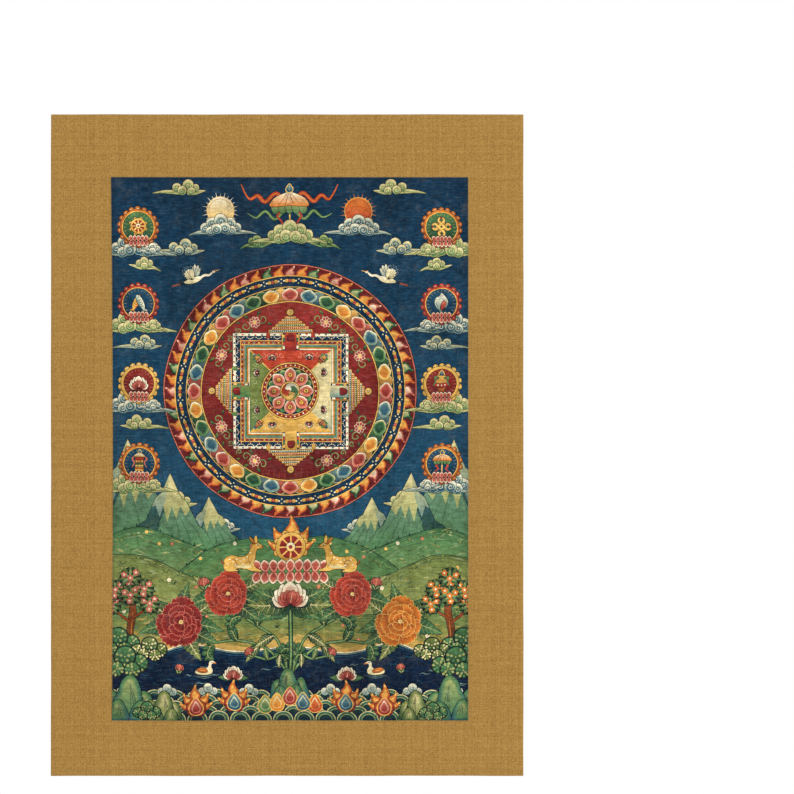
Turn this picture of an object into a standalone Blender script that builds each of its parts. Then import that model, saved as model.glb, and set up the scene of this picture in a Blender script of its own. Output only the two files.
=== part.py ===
# A thangka scroll painting as it hangs flat by its top edge: one sheet of golden-brown mount cloth, with a
# painted cloth panel laid on its face. Metres, +Z up. The face looks along -Y and the back along +Y.
# The origin is the middle of the top edge, on the back of the mount cloth.

import bmesh
import bpy

INCH = 0.0254

# Mount cloth, as cut
MOUNT_WIDTH = 20 * INCH
MOUNT_HEIGHT = 28 * INCH
MOUNT_THICKNESS = 0.0012

# Bare mount cloth left on each side of the painted panel
LEFT_MARGIN = 0.0655
RIGHT_MARGIN = 0.0595
TOP_MARGIN = 0.0675
BOTTOM_MARGIN = 0.0595

# Painted panel, lying a hair's breadth in front of the mount cloth
PANEL_THICKNESS = 0.0010
PANEL_GAP = 0.0003

# Both cloths are cut, not hemmed: their edges are only worn round
MOUNT_EDGE_ROUND = 0.0004
PANEL_EDGE_ROUND = 0.0003
ROUND_SEGMENTS = 2

# Linear colours
GOLDEN_BROWN = (0.402, 0.223, 0.062, 1.0)
PAINTED_BLUE = (0.040, 0.065, 0.105, 1.0)


def clear_scene():
    for old in list(bpy.data.objects):
        bpy.data.objects.remove(old)


def cloth_material(name, colour, roughness):
    material = bpy.data.materials.new(name)
    material.use_nodes = True
    surface = material.node_tree.nodes["Principled BSDF"]
    surface.inputs["Base Color"].default_value = colour
    surface.inputs["Roughness"].default_value = roughness
    surface.inputs["Metallic"].default_value = 0.0
    return material


def flat_cloth(name, width, height, thickness, edge_round, material):
    """A flat sheet whose own origin is the middle of its top edge, on its back."""
    box = bmesh.new()
    bmesh.ops.create_cube(box, size=1.0)
    for corner in box.verts:
        corner.co.x *= width
        corner.co.y = (corner.co.y - 0.5) * thickness
        corner.co.z = (corner.co.z - 0.5) * height
    mesh = bpy.data.meshes.new(name)
    box.to_mesh(mesh)
    box.free()
    mesh.materials.append(material)

    cloth = bpy.data.objects.new(name, mesh)
    bpy.context.scene.collection.objects.link(cloth)
    worn_edge = cloth.modifiers.new("worn_edge", "BEVEL")
    worn_edge.width = edge_round
    worn_edge.segments = ROUND_SEGMENTS
    return cloth


def build_mount_cloth():
    material = cloth_material("mount_cloth", GOLDEN_BROWN, 0.9)
    return flat_cloth("mount_cloth", MOUNT_WIDTH, MOUNT_HEIGHT, MOUNT_THICKNESS, MOUNT_EDGE_ROUND, material)


def build_painted_panel(mount):
    material = cloth_material("painted_cloth", PAINTED_BLUE, 0.8)
    width = MOUNT_WIDTH - LEFT_MARGIN - RIGHT_MARGIN
    height = MOUNT_HEIGHT - TOP_MARGIN - BOTTOM_MARGIN
    panel = flat_cloth("painted_panel", width, height, PANEL_THICKNESS, PANEL_EDGE_ROUND, material)
    off_centre = (LEFT_MARGIN - RIGHT_MARGIN) / 2
    panel.parent = mount
    panel.location = (off_centre, -MOUNT_THICKNESS - PANEL_GAP, -TOP_MARGIN)
    return panel


clear_scene()
mount_cloth = build_mount_cloth()
build_painted_panel(mount_cloth)
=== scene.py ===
# Thangka scroll painting: a painted cotton panel, laid on a golden-brown mount cloth that hangs flat by
# its top edge. Lengths are metres, apart from those on the painting itself, which are millimetres.
import math
import random

import bpy
import numpy as np
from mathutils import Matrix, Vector
from mathutils.geometry import delaunay_2d_cdt


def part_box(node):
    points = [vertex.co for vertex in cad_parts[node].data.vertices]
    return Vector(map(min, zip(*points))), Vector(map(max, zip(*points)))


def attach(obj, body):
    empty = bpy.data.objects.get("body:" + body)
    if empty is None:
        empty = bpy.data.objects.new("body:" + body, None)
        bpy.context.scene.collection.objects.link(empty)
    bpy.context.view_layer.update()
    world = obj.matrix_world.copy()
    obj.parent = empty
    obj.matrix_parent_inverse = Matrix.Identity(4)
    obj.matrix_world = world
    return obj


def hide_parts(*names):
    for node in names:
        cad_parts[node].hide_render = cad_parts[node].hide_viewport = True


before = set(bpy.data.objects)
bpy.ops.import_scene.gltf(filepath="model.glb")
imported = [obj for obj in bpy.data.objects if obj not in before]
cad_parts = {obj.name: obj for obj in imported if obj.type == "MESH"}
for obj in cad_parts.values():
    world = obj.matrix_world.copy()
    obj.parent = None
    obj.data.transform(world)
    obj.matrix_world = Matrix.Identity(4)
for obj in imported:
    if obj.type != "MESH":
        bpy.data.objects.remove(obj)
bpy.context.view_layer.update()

scene = bpy.context.scene
random.seed(28)


# Node helpers, shared by every material

def feed(tree, socket, value):
    # another node's output is joined on, and anything else is set
    if isinstance(value, bpy.types.NodeSocket):
        tree.links.new(value, socket)
    else:
        socket.default_value = value


def makeNode(tree, kind, inputs=None, **settings):
    made = tree.nodes.new(kind)
    for name, value in settings.items():
        setattr(made, name, value)
    for name, value in (inputs or {}).items():
        feed(tree, made.inputs[name], value)
    return made


def calc(tree, operation, *values):
    made = makeNode(tree, "ShaderNodeMath", operation=operation)
    for i, value in enumerate(values):
        feed(tree, made.inputs[i], value)
    return made.outputs[0]


def vectors(tree, operation, inputs):
    return makeNode(tree, "ShaderNodeVectorMath", inputs, operation=operation).outputs[0]


def mixColour(tree, share, first, second):
    return makeNode(tree, "ShaderNodeMix", {0: share, 6: first, 7: second}, data_type="RGBA").outputs[2]


def cloudNoise(tree, place, size, detail=3.0, stretch=(1.0, 1.0, 1.0), roughness=0.5):
    # soft noise whose lumps are about size across, drawn out along each way by stretch
    scaled = makeNode(tree, "ShaderNodeMapping", {
        "Vector": place,
        "Scale": tuple(1.0 / (size * reach) for reach in stretch),
    })
    made = makeNode(tree, "ShaderNodeTexNoise", {
        "Vector": scaled.outputs[0],
        "Scale": 1.0,
        "Detail": detail,
        "Roughness": roughness,
    })
    return made.outputs["Fac"]


def between(tree, value, low, high, outLow=0.0, outHigh=1.0):
    made = makeNode(tree, "ShaderNodeMapRange", {
        "Value": value,
        "From Min": low,
        "From Max": high,
        "To Min": outLow,
        "To Max": outHigh,
    })
    return made.outputs["Result"]


def gathered(tree, start, parts):
    # adds up unevennesses: each one's value, its middle and how much it counts
    total = start
    for value, middle, share in parts:
        total = calc(tree, "MULTIPLY_ADD", calc(tree, "SUBTRACT", value, middle), share, total)
    return total


def newMaterial(name):
    material = bpy.data.materials.new(name)
    material.use_nodes = True
    return material, material.node_tree, material.node_tree.nodes["Principled BSDF"]


# Camera: square on to the cloth and a little to its right, as the photograph has it

view = {
    "lens": 100.0,
    "sensor": 36.0,
    "frameWidth": 0.8536,  # what the frame takes in at the cloth's face
    "across": 0.1181,
    "height": -0.3039,
}


def addCamera():
    lensData = bpy.data.cameras.new("photo_camera")
    lensData.lens = view["lens"]
    lensData.sensor_width = view["sensor"]
    away = view["frameWidth"] * view["lens"] / view["sensor"]
    camera = bpy.data.objects.new("photo_camera", lensData)
    camera.location = (view["across"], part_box("mount_cloth")[0][1] - away, view["height"])
    camera.rotation_euler = (math.radians(90), 0, 0)
    scene.collection.objects.link(camera)
    scene.camera = camera


# Light: a white room, one wide lamp from the upper right, and a pale floor

studio = {
    "roomLight": 0.66,
    "roomSeen": 1.0,
    "lampPower": 150.0,
    "lampWidth": 2.4,
    "lampPlace": (2.2, -4.9, 1.5),
    "lampAim": (0.0, 0.0, -0.35),
    "floorHeight": -0.96,
    "floorWidth": 2.4,
    "floorTones": [(0.84, 0.84, 0.83, 1.0), (0.88, 0.88, 0.87, 1.0)],
    "floorPatch": 0.3,
    "floorRoughness": 0.7,
}


def addLight():
    scene.view_settings.view_transform = "Standard"
    world = bpy.data.worlds.new("white_room")
    world.use_nodes = True
    tree = world.node_tree
    tree.nodes.clear()
    seen = makeNode(tree, "ShaderNodeBackground", {"Color": (1, 1, 1, 1), "Strength": studio["roomSeen"]})
    lit = makeNode(tree, "ShaderNodeBackground", {"Color": (1, 1, 1, 1), "Strength": studio["roomLight"]})
    path = makeNode(tree, "ShaderNodeLightPath")
    either = makeNode(tree, "ShaderNodeMixShader", {
        0: path.outputs["Is Camera Ray"],
        1: lit.outputs[0],
        2: seen.outputs[0],
    })
    makeNode(tree, "ShaderNodeOutputWorld", {"Surface": either.outputs[0]})
    scene.world = world

    lampData = bpy.data.lights.new("wide_lamp", "AREA")
    lampData.energy = studio["lampPower"]
    lampData.size = studio["lampWidth"]
    lamp = bpy.data.objects.new("wide_lamp", lampData)
    lamp.location = studio["lampPlace"]
    aim = Vector(studio["lampAim"]) - lamp.location
    lamp.rotation_euler = aim.to_track_quat("-Z", "Y").to_euler()
    scene.collection.objects.link(lamp)


def addFloor():
    half = studio["floorWidth"] / 2
    height = studio["floorHeight"]
    mesh = bpy.data.meshes.new("pale_floor")
    corners = [(-half, -half, height), (half, -half, height), (half, half, height), (-half, half, height)]
    mesh.from_pydata(corners, [], [(0, 1, 2, 3)])
    floor = bpy.data.objects.new("pale_floor", mesh)
    scene.collection.objects.link(floor)
    material, tree, surface = newMaterial("pale_floor")
    place = makeNode(tree, "ShaderNodeTexCoord").outputs["Object"]
    tint = mixColour(tree, cloudNoise(tree, place, studio["floorPatch"]), *studio["floorTones"])
    tree.links.new(tint, surface.inputs["Base Color"])
    surface.inputs["Roughness"].default_value = studio["floorRoughness"]
    mesh.materials.append(material)


# Both cloths are closed sheets: a face, a worn round edge and a back, which hang with a faint ripple

hanging = {
    "ripple": 0.0007,  # how far the foot of the cloth wanders, front to back
    "fullDrop": 0.7,  # how far down the ripple has its whole depth
    "folds": [(13, 0, 0.6, 0.5), (5.2, -4.5, 2.0, 0.8), (-3, 9, 0, 0.3)],  # across, up, start, share
    "stretch": 0.0001,  # how far a cut edge wanders from straight
}

mapPlaces = {
    # where each part of a sheet begins on its map, and how far it reaches
    "face": (0.01, 0.77),
    "edge": (0.785, 0.005),  # each strip of the worn edge
    "back": (0.82, 0.17),
    "height": (0.01, 0.98),
}

onEdge = 0.001  # millimetres: a point this near a cut edge is on it


def ripple(x, z):
    # nothing at the top edge, where the cloth is held
    drop = min(1.0, max(0.0, -z / hanging["fullDrop"]))
    return hanging["ripple"] * drop * sum(
        share * math.sin(across * x + up * z + start) for across, up, start, share in hanging["folds"]
    )


def pulled(x, z):
    # the cloth's small stretch along its own face
    return (
        x + hanging["stretch"] * (math.sin(z * 31 + 1.0) + 0.6 * math.sin(z * 83 + x * 17)),
        z + hanging["stretch"] * (math.sin(x * 37 + 2.0) + 0.6 * math.sin(x * 91 - z * 13)),
    )


def sideOf(value, size):
    # -1 on the edge at the low end, 1 on the one at the high end, 0 between them
    return (value > size / 2 - onEdge) - (value < -size / 2 + onEdge)


def rimOrder(points, width, height):
    # the border's points in order round the sheet, with how far round each one is
    rim = []
    for i, (x, y) in enumerate(points):
        across, up = sideOf(x, width), sideOf(y, height)
        if up < 0:
            rim.append((x + width / 2, i))
        elif across > 0:
            rim.append((width + y + height / 2, i))
        elif up > 0:
            rim.append((width + height + width / 2 - x, i))
        elif across < 0:
            rim.append((2 * width + height + height / 2 - y, i))
    rim.sort()
    return [i for along, i in rim], [along / (2 * (width + height)) for along, i in rim]


def plainFace(width, height, step):
    # a flat face of even triangles, in millimetres
    columns, rows = round(width / step), round(height / step)
    border = [(-width / 2 + width * i / columns, -height / 2) for i in range(columns)]
    border += [(width / 2, -height / 2 + height * i / rows) for i in range(rows)]
    border += [(width / 2 - width * i / columns, height / 2) for i in range(columns)]
    border += [(-width / 2, height / 2 - height * i / rows) for i in range(rows)]
    return fillFace(border, width, height, step)


def fillFace(border, width, height, step):
    points = [Vector(p) for p in border] + washPoints(width, height, step)
    made = delaunay_2d_cdt(points, [], [list(range(len(border)))], 1, 1e-4)
    return [(p.x, p.y) for p in made[0]], [tuple(face) for face in made[2]]


def washPoints(width, height, step):
    # even rows of points, every other row half a step along, that keep clear of the border
    clear = step * 0.3
    points = []
    for row in range(int(height / step)):
        y = -height / 2 + step * (row + 0.5)
        for column in range(int(width / step) - row % 2):
            x = -width / 2 + step * (column + 0.5 + 0.5 * (row % 2))
            if abs(x) < width / 2 - clear and abs(y) < height / 2 - clear:
                points.append(Vector((x, y)))
    return points


def closedSheet(name, face, size, middle, front, cloth, drawn=None):
    # face is points in millimetres and triangles, and drawn says how far the cloth has drawn aside at a point
    points, triangles = face
    width, height = size
    thick, turn = cloth["thick"], cloth["edgeRound"]
    rim, along = rimOrder(points, width, height)
    inset = (1 - 2 * turn / width, 1 - 2 * turn / height)
    corners, faces, patches = [], [], []

    def place(x, y, depth):
        aside = drawn(x, y) if drawn else 0.0
        across, up = pulled(middle[0] + (x + aside) / 1000, middle[1] + y / 1000)
        corners.append((across, front + depth / 1000 + ripple(across, up), up))
        return len(corners) - 1

    def onMap(part, share):
        start, reach = mapPlaces[part]
        return start + reach * share

    def flatMap(part, x, y, flip=1):
        return onMap(part, 0.5 + flip * x / width), onMap("height", 0.5 + y / height)

    for x, y in points:
        place(x * inset[0], y * inset[1], 0)
    for triangle in triangles:
        faces.append(triangle)
        patches.append([flatMap("face", *points[i]) for i in triangle])

    # the worn edge, turned from the face to the back in a few steps
    deep = thick / turn
    steps = [(0.7, 0.3), (1.0, 1.0), (1.0, deep - 1.0), (0.7, deep - 0.3), (0.0, deep)]
    lastRing = rim
    for level, (out, depth) in enumerate(steps):
        ring = []
        for i in rim:
            x, y = points[i]
            outX, outY = sideOf(x, width) * out * turn, sideOf(y, height) * out * turn
            ring.append(place(x * inset[0] + outX, y * inset[1] + outY, depth * turn))
        inner, outer = onMap("edge", level), onMap("edge", level + 1)
        for i in range(len(ring)):
            j = (i + 1) % len(ring)
            faces.append((lastRing[i], ring[i], ring[j], lastRing[j]))
            here, there = onMap("height", along[i]), onMap("height", along[j] if j else 1.0)
            patches.append([(inner, here), (outer, here), (outer, there), (inner, there)])
        lastRing = ring

    backPoints, backTriangles = fillFace([points[i] for i in rim], width, height, cloth["backStep"])
    backRim = {(round(points[i][0], 3), round(points[i][1], 3)): lastRing[k] for k, i in enumerate(rim)}
    index = []
    for x, y in backPoints:
        known = backRim.get((round(x, 3), round(y, 3)))
        index.append(place(x * inset[0], y * inset[1], thick) if known is None else known)
    for triangle in backTriangles:
        faces.append(tuple(index[i] for i in reversed(triangle)))
        patches.append([flatMap("back", *backPoints[i], -1) for i in reversed(triangle)])

    mesh = bpy.data.meshes.new(name)
    mesh.from_pydata(corners, [], faces)
    mapped = mesh.uv_layers.new(name="OFBake")
    mapped.data.foreach_set("uv", [value for patch in patches for corner in patch for value in corner])
    mesh.polygons.foreach_set("use_smooth", [True] * len(faces))
    mesh.validate()
    sheet = bpy.data.objects.new(name, mesh)
    scene.collection.objects.link(sheet)
    return sheet


weave = {
    "underHeight": (0.45, 0.55),  # a thread's height where it goes under: what the other adds, and its own
    "weftStart": 731.0,  # keeps the weft's random tones apart from the warp's
}


def plainWeave(tree, across, up, warpWidth, weftWidth):
    # threads that pass over and under each other: how high they stand, and each one's own tone
    columns, rows = calc(tree, "DIVIDE", across, warpWidth), calc(tree, "DIVIDE", up, weftWidth)
    column, row = calc(tree, "FLOOR", columns), calc(tree, "FLOOR", rows)
    warpRound, weftRound = (
        calc(tree, "SINE", calc(tree, "MULTIPLY", calc(tree, "FRACT", threads), math.pi))
        for threads in (columns, rows)
    )
    over = calc(tree, "PINGPONG", calc(tree, "ADD", column, row), 1.0)

    def standing(own, other):
        return calc(tree, "MULTIPLY", own, calc(tree, "MULTIPLY_ADD", other, *weave["underHeight"]))

    def randomTone(inputs, ways):
        return makeNode(tree, "ShaderNodeTexWhiteNoise", inputs, noise_dimensions=ways).outputs["Value"]

    def uppermost(warp, weft):
        return makeNode(tree, "ShaderNodeMix", {0: over, 2: warp, 3: weft}).outputs[0]

    height = uppermost(standing(warpRound, weftRound), standing(weftRound, warpRound))
    thread = uppermost(randomTone({"W": column}, "1D"),
                       randomTone({"W": calc(tree, "ADD", row, weave["weftStart"])}, "1D"))
    crossing = makeNode(tree, "ShaderNodeCombineXYZ", {"X": column, "Y": row}).outputs[0]
    return height, thread, randomTone({"Vector": crossing}, "2D")


def clothPlace(tree, bend, size):
    # the cloth's own across and up, with its threads bent a little
    place = makeNode(tree, "ShaderNodeTexCoord").outputs["Object"]
    wander = makeNode(tree, "ShaderNodeTexNoise", {"Vector": place, "Scale": 1 / size, "Detail": 3.0})
    centred = vectors(tree, "SUBTRACT", {0: wander.outputs["Color"], 1: (0.5, 0.5, 0.5)})
    bent = vectors(tree, "ADD", {0: place, 1: vectors(tree, "SCALE", {0: centred, "Scale": bend})})
    apart = makeNode(tree, "ShaderNodeSeparateXYZ", {"Vector": bent})
    return place, apart.outputs["X"], apart.outputs["Z"]


def clothNoises(tree, place, cloth):
    # each noise of a cloth by its name, and the parts that they add to its unevenness
    noises = {name: cloudNoise(tree, place, *row[1:]) for name, row in cloth["noises"].items()}
    return noises, [(noises[name], 0.5, row[0]) for name, row in cloth["noises"].items()]


# The mount cloth: a matt golden-brown cloth of uneven threads, cut straight and left plain

mountCloth = {
    "thick": 1.1,
    "edgeRound": 0.4,
    "faceStep": 6.0,
    "backStep": 6.0,
    "warpWidth": 0.00086,
    "weftWidth": 0.00080,
    "threadBend": (0.0022, 0.05),  # how far threads bend, and over what distance
    "darkTone": (0.192, 0.093, 0.018, 1.0),
    "lightTone": (0.622, 0.362, 0.099, 1.0),
    "evenTone": 0.5,  # where a smooth cloth would lie between the two
    "threadShare": 0.22,  # how much each thread's own tone counts
    "knotShare": 0.38,  # and each crossing's
    # the next two: how much the gaps between threads are painted darker as shade and their tops lighter as
    # light, and the thread height where it turns
    "gapShadeShare": 0.28,
    "gapShadeMiddle": 0.62,
    "noises": {
        # how much each one counts, its size, detail, stretch each way and roughness
        "fleck": (0.62, 0.0014, 2.0, (1.4, 1.0, 0.5), 0.75),
        "slub": (0.30, 0.0011, 2.0, (22.0, 1.0, 0.7)),
        "ladder": (0.16, 0.0013, 2.0, (0.8, 1.0, 16.0)),
        "patch": (0.05, 0.09),
    },
    "roughness": (0.3, 0.7, 0.86, 0.96),  # over this stretch of the flecks, from one to the other
    "shine": 0.12,
    "sheen": 0.08,
    "sheenRoughness": 0.5,
    "sheenTint": (1.0, 0.84, 0.58, 1.0),
    "relief": 0.00016,
    "reliefStrength": 0.8,
    "slubHeight": 0.8,
}


def mountMaterial():
    cloth = mountCloth
    material, tree, surface = newMaterial("golden_brown_cloth")
    place, across, up = clothPlace(tree, *cloth["threadBend"])
    height, thread, knot = plainWeave(tree, across, up, cloth["warpWidth"], cloth["weftWidth"])
    noises, parts = clothNoises(tree, place, cloth)
    # each thread's own tone, each crossing's, and painted shade in the gaps between threads with painted
    # light on their tops
    threads = [
        (thread, 0.5, cloth["threadShare"]),
        (knot, 0.5, cloth["knotShare"]),
        (height, cloth["gapShadeMiddle"], cloth["gapShadeShare"]),
    ]
    share = gathered(tree, cloth["evenTone"], threads + parts)
    tone = mixColour(tree, share, cloth["darkTone"], cloth["lightTone"])
    tree.links.new(tone, surface.inputs["Base Color"])
    tree.links.new(between(tree, noises["fleck"], *cloth["roughness"]), surface.inputs["Roughness"])
    surface.inputs["Specular IOR Level"].default_value = cloth["shine"]
    surface.inputs["Sheen Weight"].default_value = cloth["sheen"]
    surface.inputs["Sheen Roughness"].default_value = cloth["sheenRoughness"]
    surface.inputs["Sheen Tint"].default_value = cloth["sheenTint"]
    raised = makeNode(tree, "ShaderNodeBump", {
        "Height": calc(tree, "MULTIPLY_ADD", noises["slub"], cloth["slubHeight"], height),
        "Distance": cloth["relief"],
        "Strength": cloth["reliefStrength"],
    })
    tree.links.new(raised.outputs[0], surface.inputs["Normal"])
    return material


def buildMountCloth():
    low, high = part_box("mount_cloth")
    width, height = (high[0] - low[0]) * 1000, (high[2] - low[2]) * 1000
    middle = ((low[0] + high[0]) / 2, (low[2] + high[2]) / 2)
    face = plainFace(width, height, mountCloth["faceStep"])
    sheet = closedSheet("mount_cloth_sheet", face, (width, height), middle, low[1], mountCloth)
    sheet.data.materials.append(mountMaterial())
    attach(sheet, "root")
    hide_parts("mount_cloth")
    return sheet, (width / 1000, height / 1000)


# The painting, in millimetres from the panel's middle, across and up. Every shape is laid over the last,
# and the whole pile is cut into one flat mesh afterwards.

painting = {
    "width": 383.0,
    "height": 584.2,
    "washStep": 9.0,  # spacing of the extra points that carry a smooth wash
    "handShake": 0.45,  # how far the drawing wanders
    "outline": 0.55,
}
fine = 0.4  # the outline round small things

pigments = {
    "ink": (18, 17, 23),
    "night": (14, 46, 70),
    "sky": (30, 74, 98),
    "mist": (116, 142, 130),
    "lake": (6, 20, 44),
    "pine": (30, 60, 42),
    "green": (78, 122, 74),
    "moss": (118, 130, 66),
    "sage": (160, 164, 100),
    "cream": (226, 208, 150),
    "shell": (245, 233, 198),
    "blood": (100, 28, 28),
    "crimson": (142, 43, 38),
    "red": (188, 68, 44),
    "rose": (204, 112, 90),
    "rust": (146, 68, 30),
    "orange": (214, 122, 44),
    "ochre": (196, 146, 62),
    "gold": (236, 186, 94),
    "earth": (84, 58, 34),
}

# pigments that go together, from deep to pale
leafGreen = ("pine", "green", "sage")
mossGreen = ("pine", "moss", "cream")
darkGreen = ("ink", "green", "sage")
blueGreen = ("sky", "green", "sage")
greenCloud = ("green", "sage", "cream")
blueCloud = ("sky", "mist", "cream")
whiteCloud = ("sky", "mist", "shell")
lotusPink = ("crimson", "rose", "shell")
flameRed = ("crimson", "orange", "gold")

# how wide a brush line is at its two ends, against its middle
thinTip = (1, 0.2)
softTip = (1, 0.3)
thinEnds = (0.2, 0.2)

shapes = []  # every painted shape, back to front


def toneOf(tone):
    return pigments[tone] if isinstance(tone, str) else tone


def mixed(first, second, share):
    return tuple(a + (b - a) * share for a, b in zip(toneOf(first), toneOf(second)))


def lay(points, tone, toTone=None, span=None):
    # a wash runs from tone to toTone along span, or from the shape's foot to its head
    if span is None and toTone is not None:
        heights = [y for x, y in points]
        span = [(0, min(heights)), (0, max(heights))]
    shapes.append((points, toneOf(tone), toneOf(toTone or tone), span))


def at(x, y, size=1.0, turn=0.0, flip=1, on=None):
    # a place on the painting, or on another place: takes a motif's own points and gives the painting's
    cosTurn, sinTurn = math.cos(math.radians(turn)), math.sin(math.radians(turn))

    def put(points):
        placed = [(
            x + size * (flip * across * cosTurn - up * sinTurn),
            y + size * (flip * across * sinTurn + up * cosTurn),
        ) for across, up in points]
        return on(placed) if on else placed

    return put


def around(put, count, radius, x=0.0, y=0.0, start=0.0, size=1.0):
    # places spaced round a circle, each with its own up pointing outward
    for i in range(count):
        angle = start + 360.0 * i / count
        turned = math.radians(angle)
        yield at(x + radius * math.sin(turned), y + radius * math.cos(turned), size, -angle, on=put)


def disc(x, y, radius, squash=1.0, sides=0):
    sides = sides or max(7, round(6.0 * math.sqrt(radius)))
    turns = [2 * math.pi * i / sides for i in range(sides)]
    return [(x + radius * math.cos(a), y + radius * squash * math.sin(a)) for a in turns]


def box(left, low, right, high):
    return [(left, low), (right, low), (right, high), (left, high)]


def smooth(points, steps=4, closed=True):
    count = len(points)
    curve = []
    for i in range(count if closed else count - 1):
        if closed:
            a, b, c, d = points[i - 1], points[i], points[(i + 1) % count], points[(i + 2) % count]
        else:
            a, b, c, d = points[max(i - 1, 0)], points[i], points[i + 1], points[min(i + 2, count - 1)]
        if b == c:  # a point given twice is a sharp corner
            continue
        for step in range(steps):
            t = step / steps
            curve.append(tuple(
                q + 0.5 * t * (r - p + t * (2 * p - 5 * q + 4 * r - s + t * (3 * q - p - 3 * r + s)))
                for p, q, r, s in zip(a, b, c, d)
            ))
    return curve if closed else curve + [points[-1]]


def bothSides(half):
    return half + [(-x, y) for x, y in reversed(half) if abs(x) > 0.001]


def arc(x, y, radius, fromAngle, toAngle, steps=10):
    angles = [math.radians(fromAngle + (toAngle - fromAngle) * i / steps) for i in range(steps + 1)]
    return [(x + radius * math.cos(a), y + radius * math.sin(a)) for a in angles]


def curl(x, y, radius, turns=1.4, fromAngle=0.0, hand=1, steps=14):
    curve = []
    for i in range(steps + 1):
        t = i / steps
        angle = math.radians(fromAngle + hand * 360 * turns * t)
        reach = radius * (1 - 0.86 * t)
        curve.append((x + reach * math.cos(angle), y + reach * math.sin(angle)))
    return curve


def swell(points, out):
    # moves an outline outward, or inward where out is negative
    count = len(points)
    area = sum(points[i - 1][0] * points[i][1] - points[i][0] * points[i - 1][1] for i in range(count))
    out = out if area > 0 else -out
    moved = []
    for i in range(count):
        (ax, ay), (bx, by) = points[i - 1], points[(i + 1) % count]
        along = math.hypot(bx - ax, by - ay) or 1.0
        moved.append((points[i][0] + (by - ay) / along * out, points[i][1] - (bx - ax) / along * out))
    return moved


def line(points, tone, width=0.7, thin=(1.0, 1.0), taper=0.4):
    # a brush line, as wide at its two ends as thin says
    count = len(points)
    left, right = [], []
    for i, (x, y) in enumerate(points):
        (ax, ay), (bx, by) = points[max(i - 1, 0)], points[min(i + 1, count - 1)]
        along = math.hypot(bx - ax, by - ay) or 1.0
        t = i / (count - 1)
        share = min(end + (1 - end) * min(1, near / taper) for end, near in zip(thin, (t, 1 - t)))
        half = 0.5 * width * share
        nx, ny = -(by - ay) / along * half, (bx - ax) / along * half
        left.append((x + nx, y + ny))
        right.append((x - nx, y - ny))
    lay(left + right[::-1], tone)


def lines(points, *layers, thin=(1.0, 1.0)):
    # brush lines over each other, the widest first: tone and width of each
    for tone, width in layers:
        line(points, tone, width, thin)


def stroke(put, points, tone, width=0.7, thin=(1.0, 1.0), steps=4):
    # a brush line that bends smoothly through a few points
    line(put(smooth(points, steps, False)), tone, width, thin)


def shape(put, points, tone, toTone=None, edge="ink", edgeWidth=None, span=None):
    placed = put(points)
    if edge:
        lay(swell(placed, edgeWidth or painting["outline"]), edge)
    lay(placed, tone, toTone, span and put(span))
    return placed


def form(put, points, tone, toTone=None, steps=3, **finish):
    # a shape with its corners rounded off
    return shape(put, smooth(points, steps), tone, toTone, **finish)


def dot(put, x, y, radius, tone, toTone=None, sides=0):
    lay(put(disc(x, y, radius, sides=sides)), tone, toTone)


def bead(put, x, y, radius, tone, toTone, edgeWidth=None):
    shape(put, disc(x, y, radius), tone, toTone, edgeWidth=edgeWidth)


def rings(put, *discs):
    # discs over each other, the largest first: radius and tone of each
    for radius, tone in discs:
        dot(put, 0, 0, radius, tone)


# Flowers and leaves

leafOutline = smooth(bothSides([(0, 0), (2.6, 2.5), (4.6, 7), (5.2, 12), (3.6, 18), (1.2, 22), (0, 25)]), 2)
petalHalf = [(0, 0), (4.2, 3), (7.2, 9), (6.6, 14.5), (2.6, 18.6), (0, 20)]
petalOutline = smooth(bothSides(petalHalf), 2)
roundPetal = smooth(bothSides(petalHalf), 4)  # for the larger petals
fanHalf = [(0, 0), (3.4, 3), (7.4, 8.6), (9, 13), (8, 15.4), (6.2, 15), (5.4, 17.4), (3.4, 16.4), (2.2, 18.4),
           (0, 17.2)]
fanOutline = smooth(bothSides(fanHalf), 2)


def leaf(put):
    deep, body, vein = leafGreen
    shape(put, leafOutline, deep, body, span=[(0, 0), (0, 25)])
    line(put([(0, 0), (0.2, 10), (0, 21)]), vein, 0.7, softTip)
    for side in (-1, 1):
        for up in (6, 11):
            line(put([(0, up), (side * 3.2, up + 4)]), vein, 0.5, softTip)


peonyRings = [
    # petals, how far out they stand, their size, and the turn of the first
    (7, 12.6, 1.16, 8),
    (6, 8.2, 1.00, 30),
    (5, 4.6, 0.80, 4),
    (4, 1.8, 0.58, 40),
]


def peony(put, deep, body, pale):
    # rings of ruffled petals, the inner ones smaller and turned out of step
    for count, radius, size, turn in peonyRings:
        for i, spot in enumerate(around(put, count, radius, start=turn, size=size)):
            uneven = 1 + 0.14 * math.sin(5 * i + count)
            petal = at(0, -8, uneven, 10 * math.sin(3 * i + radius), on=spot)
            shape(petal, fanOutline, deep, body, edge=pale, edgeWidth=0.5, span=[(0, 7), (0, 18)])
            for lean in (-5.4, -2.7, 0, 2.7, 5.4):
                tone = mixed(body, pale, 0.45) if abs(lean) == 2.7 else deep
                line(petal([(lean * 0.5, 5), (lean * 1.3, 14.6 - abs(lean) * 0.3)]), tone, 0.6, thinTip)
    bead(put, 0, 0, 2.4, "ochre", "gold", fine)
    for spot in around(put, 7, 1.5):
        dot(spot, 0, 0, 0.42, "shell", sides=6)


def lotus(put, tones=lotusPink):
    deep, body, pale = tones
    for turn in (-74, 74, -50, 50, -25, 25, 0):
        petal = at(0, 0, 1.05 - abs(turn) * 0.0016, -turn, on=put)
        shape(petal, petalOutline, body, pale, span=[(0, 0), (0, 15)])
        inner = swell(petalOutline, -2.2)
        shape(petal, inner, mixed(body, deep, 0.35), pale, edge=None, span=[(0, 2), (0, 19)])
        line(petal([(0, 4), (0, 16)]), deep, 0.5, thinTip)
    for turn in (-62, 62, -36, 36, -12, 12):
        petal = at(0, -1, 0.68, -turn, on=put)
        shape(petal, petalOutline, deep, body, span=[(0, 0), (0, 20)])
        line(petal([(0, 3), (0, 16)]), pale, 0.5, thinTip)


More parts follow.
